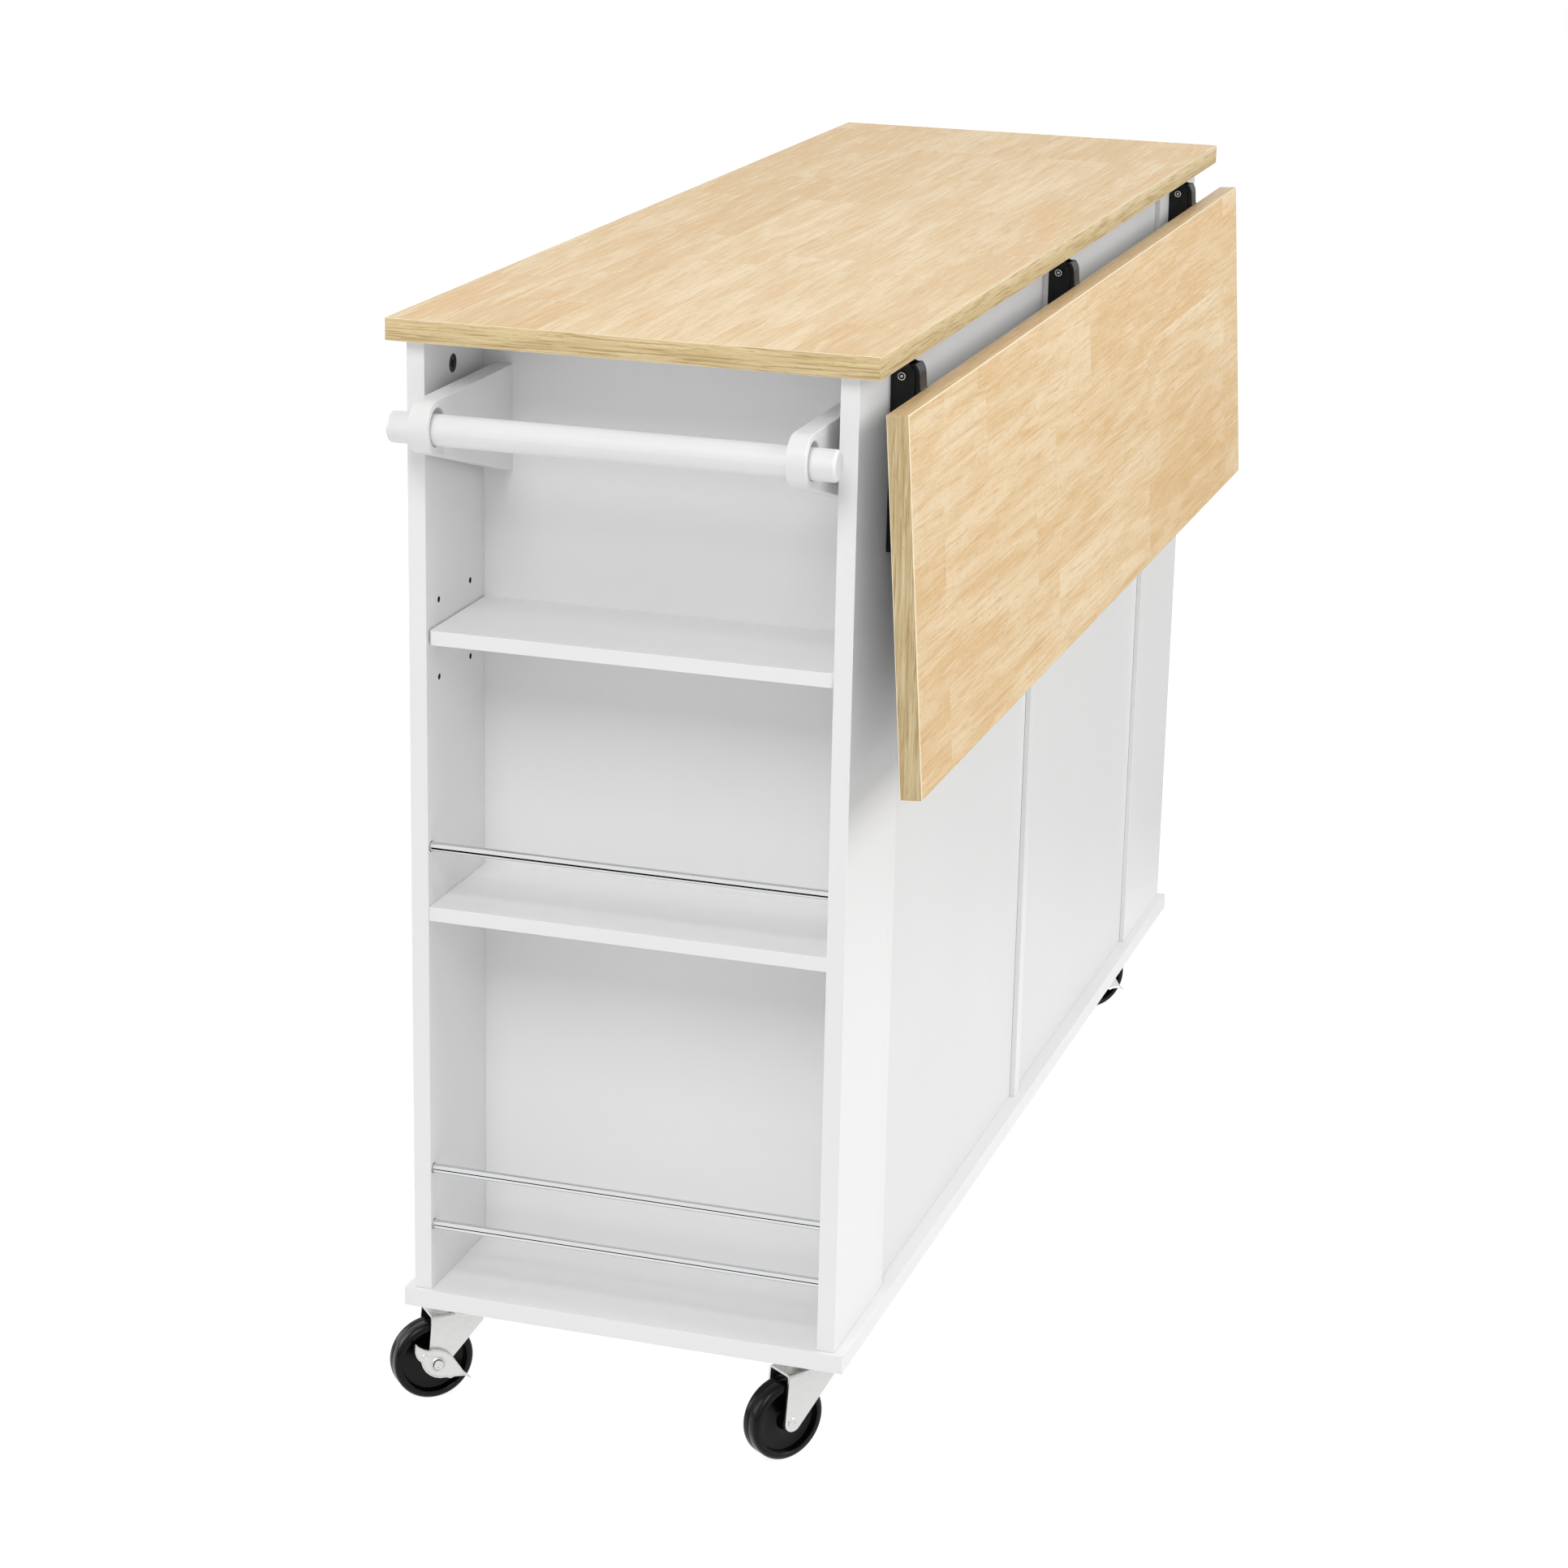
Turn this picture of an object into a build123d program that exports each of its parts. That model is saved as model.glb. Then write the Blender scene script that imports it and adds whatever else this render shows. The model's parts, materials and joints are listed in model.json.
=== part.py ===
from build123d import *
import math
import os

# A kitchen island on casters, with a drop leaf behind it. Sizes are in millimetres.
# X runs along the island, with the open towel end at +X. The doors and drawers face -Y.
# The leaf hangs on the +Y side. The origin is on the floor, in the middle of the whole island.

# Worktop and drop leaf
worktop_length = 1240
worktop_depth = 400
top_thickness = 18  # one laminated board makes the worktop and the leaf
eased_edge = 0.8
end_overhang = 11
front_overhang = 13
back_overhang = 19
leaf_width = 300
leaf_gap = 2  # between the worktop and the raised leaf
leaf_tilt = 3.8  # how far the hanging leaf stands off the vertical, in degrees

# Cabinet
cabinet_height = 804
board = 15
shelf_board = 12
base_thickness = 16
base_end_lip = 4
base_side_lip = 8
near_bay_depth = 122
far_bay_depth = 151
panel_thickness = 4
panel_recess = 5
groove_depth = 5
groove_play = 0.2
panel_end_play = 0.5
rail_width = 60
drawer_opening = 153

# Shelves, their pins and the guard rails
fixed_shelf_height = 339  # top of the fixed shelf over the base
pin_height = 558.7  # middle row of holes over the base
cupboard_pin_height = 310
pin_dia = 5
pin_pitch = 32
pin_rows = 3
pin_hole_depth = 6
pin_play = 0.05
paddle_length = 9
paddle_width = 10
paddle_thickness = 3.5
pin_from_divider = 30
pin_from_end = 26
cupboard_pin_inset = 50
shelf_play = 1
loose_shelf_inset = 3
fixed_shelf_inset = 1
shelf_corner = 3
cupboard_shelf_setback = 9
guard_dia = 8
guard_seat = 9
guard_play = 0.5
guard_from_end = 7
middle_guard_height = 50  # over the fixed shelf
lower_guard_height = 57  # over the base
upper_guard_height = 107.5

# Cam locks that hold the worktop down
cam_dia = 15
cam_depth = 12.5
cam_play = 0.1
cam_drop = 28
cam_from_end = 58
cam_from_side = 70

# Towel rail
towel_drop = 38.3  # from the underside of the worktop to the top of the brackets
towel_foot = 88.1  # height of the bracket where it meets the divider
towel_reach = 157  # from the divider to the centre of the nose
towel_nose_radius = 21
towel_bracket_thickness = 16
towel_bracket_gap = 9.3  # between a bracket and the side board of the bay
towel_hole_dia = 30
towel_rod_dia = 25
towel_rod_overhang = {"front": 22.3, "back": 20.3}  # the rod lies loose and stands out of both brackets
towel_rod_rounding = 3
running_gap = 0.3

# Folding brackets
steel = 1.5
pivot_out = 9  # from the back of the cabinet
pivot_drop = 14  # from the underside of the worktop
channel_width = 23.4
channel_depth = 19
channel_drop = 140  # from the pivot to the lower end
channel_web_drop = 10
channel_corner = 6
arm_width = 19
arm_depth = 12
arm_length = 250
arm_ear_radius = 8.3
arm_ear_blend = 22
arm_corner = 6
arm_swing_gap = 0.5  # between the turning end of an arm and the worktop
arm_ramp = 1.5  # where the back of an arm meets the leaf
rivet_dia = 6
rivet_head_dia = 8
rivet_head_height = 1.6
rivet_play = 0.1
lower_pivot_drop = 120
elbow_out = 4  # where the elbow rests, from the hinge pivot
elbow_drop = 41
arm_pivot_along = 190
arm_pivot_cover = 8  # from the underside of the leaf
link_width = 11
link_thickness = 2.5
link_gap = 0.3  # from the middle of the bracket to either link
near_bracket_from_divider = 27
mid_bracket_off_centre = -4.5
far_bracket_from_divider = 37

# Doors and drawers
front_gap = 2.5
front_rounding = 0.8
hinge_leaf_gap = 0.3
hinge_leaf_depth = 22
hinge_length = 50
hinge_from_end = 80
knuckle_radius = 3
knuckle_gap = 0.4
knuckles = 5
hinge_pin_radius = 1.5
hinge_pin_play = 0.1
slide_width = 12.7
slide_height = 45
slide_steel = 1.2
slide_setback = 3
slide_end_gap = 7  # from a slide's end to the back of its drawer
slide_flange = 9
slide_play = 0.4
drawer_board = 12
drawer_bottom = 3
drawer_bottom_lift = 6
drawer_height = 110
drawer_clear_below = 9
drawer_clear_behind = 34  # from the drawer to the back panel
knob_projection = 30
knob_head_radius = 15
knob_head_length = 11
knob_flare = 3.7  # how far the head takes to widen
knob_dome = 3.8
knob_neck_radius = 6
knob_foot_radius = 9
knob_foot_length = 2.5
door_knob_from_edge = 40
door_knob_from_top = 70

# Casters
caster_height = 94
caster_from_end = 48
caster_from_side = 29
wheel_dia = 70
wheel_width = 20
tread_rounding = 4
rim_width = 6.5
web_thickness = 6
dish_slope = 2.3
hub_radius = 8
trail = 34  # from the swivel axis to the axle
axle_dia = 6
axle_play = 0.1
axle_head_dia = 8.4
axle_head_height = 1.2
plate_size = 50
plate_corner = 4
plate_thickness = 2.5
plate_hole_dia = 5.5
plate_hole_spacing = 38
race_dia = 42
race_height = 6.2
lower_race_dia = 38
kingpin_dia = 9
kingpin_play = 0.1
kingpin_head_dia = 15
kingpin_head_height = 2.5
fork_steel = 2
crown_height = 78.5  # top of the fork's crown over the floor
crown_radius = 22
leg_gap = 2  # between the wheel's tread and either leg
leg_lead_top = 4  # the leading edge ahead of the axle, at the crown
leg_lead = 7.5  # and at the axle
leg_back_top = 42  # the trailing edge behind the axle, at the crown
leg_waist_drop = 10.5  # where the trailing edge turns down, under the crown
leg_ear_radius = 8
lever_steel = 1.3
lever_depth = 4  # from the leg's face to the blade's outer face
lever_boss_radius = 6.5
lever_gap = 0.3

# Which way each caster trails at rest, in degrees from -Y towards +X, and which have a brake
headings = {"near_front": 42, "near_back": 54, "far_front": 45, "far_back": 48}
braked = ("near_front", "far_back")

# Places that follow from the sizes
cabinet_length = worktop_length - 2 * end_overhang
cabinet_depth = worktop_depth - front_overhang - back_overhang
sin_tilt = math.sin(math.radians(leaf_tilt))
cos_tilt = math.cos(math.radians(leaf_tilt))
leaf_start = back_overhang - pivot_out + leaf_gap
near_reach = cabinet_length / 2 - near_bay_depth + towel_reach + towel_nose_radius
front_reach = cabinet_depth / 2 + knob_projection
leaf_corner_out = (leaf_start + leaf_width) * sin_tilt + (pivot_drop + top_thickness) * cos_tilt
back_reach = cabinet_depth / 2 + pivot_out + leaf_corner_out
mid_x = (worktop_length / 2 - near_reach) / 2
mid_y = (front_reach - back_reach) / 2

front_y = mid_y - cabinet_depth / 2
back_y = mid_y + cabinet_depth / 2
bay_front_y = front_y + board
bay_back_y = back_y - board
near_end_x = mid_x + cabinet_length / 2
far_end_x = mid_x - cabinet_length / 2
base_top_z = caster_height + base_thickness
top_z = base_top_z + cabinet_height  # underside of the worktop
cupboard_width = (cabinet_length - near_bay_depth - far_bay_depth - 3 * board) / 2
near_bay_x = near_end_x - near_bay_depth
near_cupboard_x = near_bay_x - board - cupboard_width
mid_divider_x = near_cupboard_x - board
far_cupboard_x = mid_divider_x - cupboard_width
far_bay_x = far_cupboard_x - board
cupboards = {
    "near": (near_cupboard_x, near_cupboard_x + cupboard_width),
    "far": (far_cupboard_x, far_cupboard_x + cupboard_width),
}
panel_back_y = back_y - panel_recess
panel_front_y = panel_back_y - panel_thickness
pin_z = base_top_z + pin_height
cupboard_pin_z = base_top_z + cupboard_pin_height
fixed_shelf_z = base_top_z + fixed_shelf_height
deck_top_z = top_z - board - drawer_opening
deck_z = deck_top_z - board
cam_z = top_z - cam_drop


def slab(x_span, y_span, z_span, mode=Mode.ADD):
    """Add a square block between two x, two y and two z places to the piece being made."""
    with BuildSketch(Plane.XY.offset(z_span[0])) as outline:
        with Locations(((x_span[0] + x_span[1]) / 2, (y_span[0] + y_span[1]) / 2)):
            Rectangle(x_span[1] - x_span[0], y_span[1] - y_span[0])
    extrude(outline.sketch, amount=z_span[1] - z_span[0], mode=mode)


def disc(plane, places, radius, amount, mode=Mode.ADD):
    """Add or cut round bars along the plane's normal, centred on places in the plane."""
    with BuildSketch(plane) as circles:
        with Locations(*places):
            Circle(radius)
    extrude(circles.sketch, amount=amount, mode=mode)


def drill(plane, places, radius, depth):
    disc(plane, places, radius, depth, mode=Mode.SUBTRACT)


def keep(piece, name):
    """Name a finished piece and write it."""
    piece.part.label = name
    export_step(piece.part, f"parts/{name}.step")


def facing_y(y):
    """A sketch plane at y, drawn in x and z, whose normal points to -Y."""
    return Plane.XZ.offset(-y)


def facing_x(x):
    """A sketch plane at x, drawn in y and z, whose normal points to +X."""
    return Plane.YZ.offset(x)


def pin_places(columns, level):
    """Centres of the shelf pin holes on a face."""
    first_row = level - pin_pitch * (pin_rows - 1) / 2
    return [(column, first_row + pin_pitch * row) for column in columns for row in range(pin_rows)]


os.makedirs("parts", exist_ok=True)

# Worktop
worktop_x = (mid_x - worktop_length / 2, mid_x + worktop_length / 2)
worktop_y = (front_y - front_overhang, back_y + back_overhang)
with BuildPart() as worktop:
    slab(worktop_x, worktop_y, (top_z, top_z + top_thickness))
    fillet(worktop.edges(), radius=eased_edge)
keep(worktop, "worktop")

# Base board, which stands out all round
with BuildPart() as base_board:
    slab(
        (far_end_x - base_end_lip, near_end_x + base_end_lip),
        (front_y - base_side_lip, back_y + base_side_lip),
        (caster_height, base_top_z),
    )
    fillet(base_board.edges().filter_by(Axis.Z), radius=eased_edge)
keep(base_board, "base_board")

# Side boards of the two end bays, with pin holes, guard rail holes and a cam lock bore
bays = {
    "near": (near_bay_x, near_end_x, 1),
    "far": (far_bay_x, far_end_x, -1),
}
guard_x = near_end_x - guard_from_end
guard_levels = {
    "middle": fixed_shelf_z + middle_guard_height,
    "upper": base_top_z + upper_guard_height,
    "lower": base_top_z + lower_guard_height,
}
for bay, (divider_x, end_x, outward) in bays.items():
    pin_columns = (divider_x + outward * pin_from_divider, end_x - outward * pin_from_end)
    cam_x = end_x - outward * cam_from_end
    for side, outer_y, inner_y in (("front", front_y, bay_front_y), ("back", back_y, bay_back_y)):
        into_board = 1 if side == "front" else -1
        face = facing_y(inner_y)
        with BuildPart() as bay_board:
            slab(
                (min(divider_x, end_x), max(divider_x, end_x)),
                (min(outer_y, inner_y), max(outer_y, inner_y)),
                (base_top_z, top_z),
            )
            hole_radius = pin_dia / 2 + pin_play
            drill(face, pin_places(pin_columns, pin_z), hole_radius, into_board * pin_hole_depth)
            drill(face, [(cam_x, cam_z)], cam_dia / 2 + cam_play, into_board * cam_depth)
            if bay == "near":
                rail_ends = [(guard_x, level) for level in guard_levels.values()]
                drill(face, rail_ends, guard_dia / 2 + guard_play, into_board * guard_seat)
        keep(bay_board, f"{bay}_{side}_board")

# Dividers, with grooves for the back panels, pin holes and cam lock bores
groove_y = (panel_front_y - groove_play, panel_back_y + groove_play)
cupboard_columns = (front_y + cupboard_pin_inset, panel_front_y - cupboard_pin_inset)
cam_rows = [(front_y + cam_from_side, cam_z), (panel_front_y - cam_from_side, cam_z)]
dividers = {
    "near": (near_bay_x - board, (-1,)),
    "mid": (mid_divider_x, (-1, 1)),
    "far": (far_bay_x, (1,)),
}
for name, (low_x, cupboard_sides) in dividers.items():
    with BuildPart() as divider:
        slab((low_x, low_x + board), (front_y, back_y), (base_top_z, top_z))
        for outward in cupboard_sides:
            face_x = low_x + board if outward > 0 else low_x
            groove_bottom = face_x - outward * groove_depth
            groove_x = (min(face_x, groove_bottom), max(face_x, groove_bottom))
            slab(groove_x, groove_y, (base_top_z, top_z), mode=Mode.SUBTRACT)
            holes = pin_places(cupboard_columns, cupboard_pin_z)
            drill(facing_x(face_x), holes, pin_dia / 2 + pin_play, -outward * pin_hole_depth)
        cam_side = cupboard_sides[0]
        cam_face = low_x + board if cam_side > 0 else low_x
        drill(facing_x(cam_face), cam_rows, cam_dia / 2 + cam_play, -cam_side * cam_depth)
    keep(divider, f"{name}_divider")

# Back panels, held in the grooves
for name, (low_x, high_x) in cupboards.items():
    tongue = groove_depth - panel_end_play
    with BuildPart() as back_panel:
        slab((low_x - tongue, high_x + tongue), (panel_front_y, panel_back_y), (base_top_z, top_z))
    keep(back_panel, f"{name}_back_panel")

# Rails under the worktop, and a board under each drawer
with BuildPart() as top_rails:
    for span in cupboards.values():
        slab(span, (front_y, front_y + rail_width), (top_z - board, top_z))
        slab(span, (panel_front_y - rail_width, panel_front_y), (top_z - board, top_z))
keep(top_rails, "top_rails")

with BuildPart() as drawer_decks:
    for span in cupboards.values():
        slab(span, (front_y, panel_front_y), (deck_z, deck_top_z))
keep(drawer_decks, "drawer_decks")

# Shelves of the end bays: a fixed one in the middle and a loose one on pins above it
for bay, (divider_x, end_x, outward) in bays.items():
    fixed_edge_x = end_x - outward * fixed_shelf_inset
    loose_edge_x = end_x - outward * loose_shelf_inset
    with BuildPart() as fixed_shelf:
        slab(
            (min(divider_x, fixed_edge_x), max(divider_x, fixed_edge_x)),
            (bay_front_y, bay_back_y),
            (fixed_shelf_z - shelf_board, fixed_shelf_z),
        )
    keep(fixed_shelf, f"{bay}_middle_shelf")
    with BuildPart() as loose_shelf:
        slab(
            (min(divider_x, loose_edge_x), max(divider_x, loose_edge_x)),
            (bay_front_y + shelf_play, bay_back_y - shelf_play),
            (pin_z, pin_z + shelf_board),
        )
        upright_edges = loose_shelf.edges().filter_by(Axis.Z).sort_by(Axis.X)
        open_corners = upright_edges[-2:] if outward > 0 else upright_edges[:2]
        fillet(open_corners, radius=shelf_corner)
    keep(loose_shelf, f"{bay}_upper_shelf")

# Shelves in the cupboards
with BuildPart() as cupboard_shelves:
    for low_x, high_x in cupboards.values():
        slab(
            (low_x + shelf_play, high_x - shelf_play),
            (bay_front_y + cupboard_shelf_setback, panel_front_y - shelf_play),
            (cupboard_pin_z, cupboard_pin_z + board),
        )
keep(cupboard_shelves, "cupboard_shelves")


def shelf_pin(face, place, inward):
    """Add a pin: a shank in its hole, and a paddle whose flat top is level with the hole's centre."""
    shank = pin_hole_depth - pin_play
    disc(face, [place], pin_dia / 2, -inward * shank)
    with BuildSketch(face) as paddle:
        with Locations((place[0], place[1] - paddle_thickness / 2)):
            Rectangle(paddle_width, paddle_thickness)
    extrude(paddle.sketch, amount=inward * paddle_length)


with BuildPart() as shelf_pins:
    for divider_x, end_x, outward in bays.values():
        for column in (divider_x + outward * pin_from_divider, end_x - outward * pin_from_end):
            shelf_pin(facing_y(bay_front_y), (column, pin_z), -1)
            shelf_pin(facing_y(bay_back_y), (column, pin_z), 1)
    for low_x, high_x in cupboards.values():
        for column in cupboard_columns:
            shelf_pin(facing_x(low_x), (column, cupboard_pin_z), 1)
            shelf_pin(facing_x(high_x), (column, cupboard_pin_z), -1)
keep(shelf_pins, "shelf_pins")

# Cam locks, flush in their bores
with BuildPart() as cam_locks:
    for divider_x, end_x, outward in bays.values():
        cam_x = end_x - outward * cam_from_end
        disc(facing_y(bay_front_y), [(cam_x, cam_z)], cam_dia / 2, cam_depth)
        disc(facing_y(bay_back_y), [(cam_x, cam_z)], cam_dia / 2, -cam_depth)
    for low_x, cupboard_sides in dividers.values():
        cam_side = cupboard_sides[0]
        cam_face = low_x + board if cam_side > 0 else low_x
        disc(facing_x(cam_face), cam_rows, cam_dia / 2, -cam_side * cam_depth)
keep(cam_locks, "cam_locks")

# Guard rails across the open end, seated in both side boards
for name, level in guard_levels.items():
    with BuildPart() as guard_rail:
        rail_end = facing_y(bay_front_y - guard_seat)
        span = bay_back_y - bay_front_y + 2 * guard_seat
        disc(rail_end, [(guard_x, level)], guard_dia / 2, -span)
    keep(guard_rail, f"{name}_guard_rail")

# Towel brackets: a wedge that narrows to a round nose, with a round hole for the rod
towel_top_z = top_z - towel_drop
nose_x = near_bay_x + towel_reach
nose_z = towel_top_z - towel_nose_radius
bracket_faces = {
    "front": bay_front_y + towel_bracket_gap + towel_bracket_thickness,
    "back": bay_back_y - towel_bracket_gap,
}
for side, high_y in bracket_faces.items():
    with BuildPart() as towel_bracket:
        with BuildSketch(facing_y(high_y)):
            with BuildLine():
                Line((near_bay_x, towel_top_z - towel_foot), (near_bay_x, towel_top_z))
                CenterArc((nose_x, nose_z), towel_nose_radius, 0, 360)
            make_hull()
            with Locations((nose_x, nose_z)):
                Circle(towel_hole_dia / 2, mode=Mode.SUBTRACT)
        extrude(amount=towel_bracket_thickness)
        outline = towel_bracket.edges().group_by(Axis.Y)
        foot = towel_bracket.faces().sort_by(Axis.X)[0].edges()
        rounded = ShapeList([edge for edge in outline[0] + outline[-1] if edge not in foot])
        fillet(rounded, radius=eased_edge)
    keep(towel_bracket, f"towel_bracket_{side}")

# Towel rod, which lies loose in the two holes
rod_z = nose_z - (towel_hole_dia - towel_rod_dia) / 2 + running_gap
rod_front_y = bracket_faces["front"] - towel_bracket_thickness - towel_rod_overhang["front"]
rod_back_y = bracket_faces["back"] + towel_rod_overhang["back"]
with BuildPart() as towel_rod:
    rod_length = rod_back_y - rod_front_y
    disc(facing_y(rod_front_y), [(nose_x, rod_z)], towel_rod_dia / 2, -rod_length)
    fillet(towel_rod.edges().filter_by(GeomType.CIRCLE), radius=towel_rod_rounding)
keep(towel_rod, "towel_rod")

# Folding brackets. The hinge pivot is the origin of their fold.
pivot_y = back_y + pivot_out
pivot_z = top_z - pivot_drop
bracket_places = (
    near_bay_x + near_bracket_from_divider,
    mid_divider_x + board / 2 + mid_bracket_off_centre,
    far_bay_x - far_bracket_from_divider,
)
lower_pivot = (pivot_y, pivot_z - lower_pivot_drop)
elbow = (pivot_y + elbow_out, pivot_z - elbow_drop)


def rivet(middle_x, place, half_length):
    """Add a headed rivet along X through a place given in y and z."""
    half = half_length + rivet_head_height
    disc(facing_x(middle_x - half_length), [place], rivet_dia / 2, 2 * half_length)
    disc(facing_x(middle_x - half), [place], rivet_head_dia / 2, rivet_head_height)
    disc(facing_x(middle_x + half_length), [place], rivet_head_dia / 2, rivet_head_height)


with BuildPart() as bracket_wall_plates:
    for place in bracket_places:
        low_x = place - channel_width / 2
        high_x = place + channel_width / 2
        for cheek_x in (low_x, high_x - steel):
            with BuildSketch(facing_x(cheek_x)) as cheek:
                with BuildLine():
                    start = (back_y, pivot_z - channel_drop)
                    bottom = Line(start, (back_y + channel_depth - channel_corner, start[1]))
                    corner = JernArc(bottom @ 1, bottom % 1, channel_corner, 90)
                    side = Line(corner @ 1, (back_y + channel_depth, pivot_z))
                    top = JernArc(side @ 1, side % 1, channel_depth - pivot_out, 90)
                    Polyline(top @ 1, (back_y, (top @ 1).Y), start)
                make_face()
            extrude(cheek.sketch, amount=steel)
        slab((low_x, high_x), (back_y, back_y + steel), (start[1], pivot_z - channel_web_drop))
        rivet(place, (pivot_y, pivot_z), channel_width / 2)
        rivet(place, lower_pivot, channel_width / 2)
keep(bracket_wall_plates, "bracket_wall_plates")


def leaf_plane(x):
    """A plane at x drawn along the hanging leaf, from the pivot down, and out from the cabinet."""
    return Plane(origin=(x, pivot_y, pivot_z), x_dir=(0, sin_tilt, -cos_tilt), z_dir=(1, 0, 0))


leaf_span = (leaf_start, leaf_start + leaf_width)
arm_low = pivot_drop - arm_depth
arm_pivot_in = pivot_drop - arm_pivot_cover
arm_swing = pivot_drop - arm_swing_gap


def arm_head():
    """Draw the end of an arm above the leaf, square at its top and round where it swings past the worktop."""
    top_out = math.sqrt(arm_swing**2 - arm_ear_radius**2)
    half_turn = math.asin(arm_ear_radius / arm_swing) / 2
    crest = (-arm_swing * math.sin(half_turn), arm_swing * math.cos(half_turn))
    with BuildLine() as head:
        top = Line((-arm_ear_radius, 0), (-arm_ear_radius, top_out))
        bend = ThreePointArc(top @ 1, crest, (0, arm_swing))
        back = Polyline(bend @ 1, (leaf_start - arm_ramp, arm_swing), (leaf_start, pivot_drop))
        Polyline(back @ 1, (leaf_start, arm_low), (0, 0), top @ 0)
    make_face(head.edges())


with BuildPart() as leaf_arms:
    for place in bracket_places:
        low_x = place - arm_width / 2
        for cheek_x in (low_x, low_x + arm_width - steel):
            with BuildSketch(leaf_plane(cheek_x)) as cheek:
                with BuildLine():
                    CenterArc((0, 0), arm_ear_radius, 0, 360)
                    Line((leaf_start, pivot_drop), (leaf_start + arm_ear_blend, arm_low))
                make_hull()
                arm_head()
                with Locations(((leaf_start + arm_length) / 2, pivot_drop - arm_depth / 2)):
                    Rectangle(arm_length - leaf_start, arm_depth)
                end_corner = cheek.vertices().sort_by(Axis.Z).group_by(Axis.Z)[0].sort_by(Axis.Y)[0]
                fillet(end_corner, radius=arm_corner)
                with Locations((0, 0)):
                    Circle(rivet_dia / 2 + rivet_play, mode=Mode.SUBTRACT)
            extrude(cheek.sketch, amount=steel)
        with BuildSketch(leaf_plane(low_x)) as web:
            arm_head()
            Circle(arm_swing - steel, mode=Mode.SUBTRACT)
            with Locations((leaf_start / 2, (arm_swing - steel) / 2)):
                Rectangle(leaf_start, arm_swing - steel, mode=Mode.SUBTRACT)
            with Locations(((leaf_start + arm_length) / 2, pivot_drop - steel / 2)):
                Rectangle(arm_length - leaf_start, steel)
        extrude(web.sketch, amount=arm_width)
        half = arm_width / 2
        head_plane = leaf_plane(place - half - running_gap)
        disc(head_plane, [(arm_pivot_along, arm_pivot_in)], rivet_dia / 2, arm_width + 2 * running_gap)
keep(leaf_arms, "leaf_arms")

# Links. Each ends in half of the elbow's rivet, so the two lie side by side.
along_y = arm_pivot_along * sin_tilt + arm_pivot_in * cos_tilt
along_z = -arm_pivot_along * cos_tilt + arm_pivot_in * sin_tilt
arm_pivot = (pivot_y + along_y, pivot_z + along_z)


def link(inner_x, outer_x, holed, elbow_end):
    """Add a flat link between two x places, from a holed end to the elbow."""
    run = (elbow_end[0] - holed[0], elbow_end[1] - holed[1])
    low_x = min(inner_x, outer_x)
    with BuildSketch(facing_x(low_x)) as bar:
        with Locations(((holed[0] + elbow_end[0]) / 2, (holed[1] + elbow_end[1]) / 2)):
            turn = math.degrees(math.atan2(run[1], run[0]))
            SlotCenterToCenter(math.hypot(*run), link_width, rotation=turn)
        with Locations(holed):
            Circle(rivet_dia / 2 + rivet_play, mode=Mode.SUBTRACT)
    extrude(bar.sketch, amount=link_thickness)
    away = 1 if outer_x > inner_x else -1
    disc(facing_x(outer_x), [elbow_end], rivet_head_dia / 2, away * rivet_head_height)


with BuildPart() as lower_links:
    for place in bracket_places:
        link(place - link_gap, place - link_gap - link_thickness, lower_pivot, elbow)
keep(lower_links, "lower_links")

with BuildPart() as upper_links:
    for place in bracket_places:
        link(place + link_gap, place + link_gap + link_thickness, arm_pivot, elbow)
keep(upper_links, "upper_links")

# Drop leaf, hanging from the arms
with BuildPart() as drop_leaf:
    with BuildSketch(leaf_plane(worktop_x[0])) as section:
        with Locations(((leaf_span[0] + leaf_span[1]) / 2, pivot_drop + top_thickness / 2)):
            Rectangle(leaf_width, top_thickness)
    extrude(section.sketch, amount=worktop_length)
    fillet(drop_leaf.edges(), radius=eased_edge)
keep(drop_leaf, "drop_leaf")


def knob(place_x, place_z):
    """Add a turned knob that stands on the front."""
    neck_end = -(knob_projection - knob_head_length)
    dome_edge = (knob_head_radius, knob_dome - knob_projection)
    with BuildSketch(Plane((place_x, front_y, place_z))) as half:
        with BuildLine():
            Polyline(
                (0, -knob_projection),
                (0, 0),
                (knob_foot_radius, 0),
                (knob_foot_radius, -knob_foot_length),
                (knob_neck_radius, -knob_foot_length - (knob_foot_radius - knob_neck_radius)),
                (knob_neck_radius, neck_end),
                (knob_head_radius, neck_end - knob_flare),
                dome_edge,
            )
            TangentArc((0, -knob_projection), dome_edge, tangent=(1, 0))
        make_face()
    revolve(half.sketch, axis=Axis((place_x, front_y, place_z), (0, 1, 0)))


# Doors, each hung from its outer edge by two butt hinges
door_z = (base_top_z + front_gap, deck_z - front_gap)
hinge_y = front_y - knuckle_radius - knuckle_gap
hinge_levels = (door_z[0] + hinge_from_end, door_z[1] - hinge_from_end)
knuckle_length = hinge_length / knuckles
hinge_leaf = (front_gap - hinge_leaf_gap) / 2
hung_from = {"near": 1, "far": -1}


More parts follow.
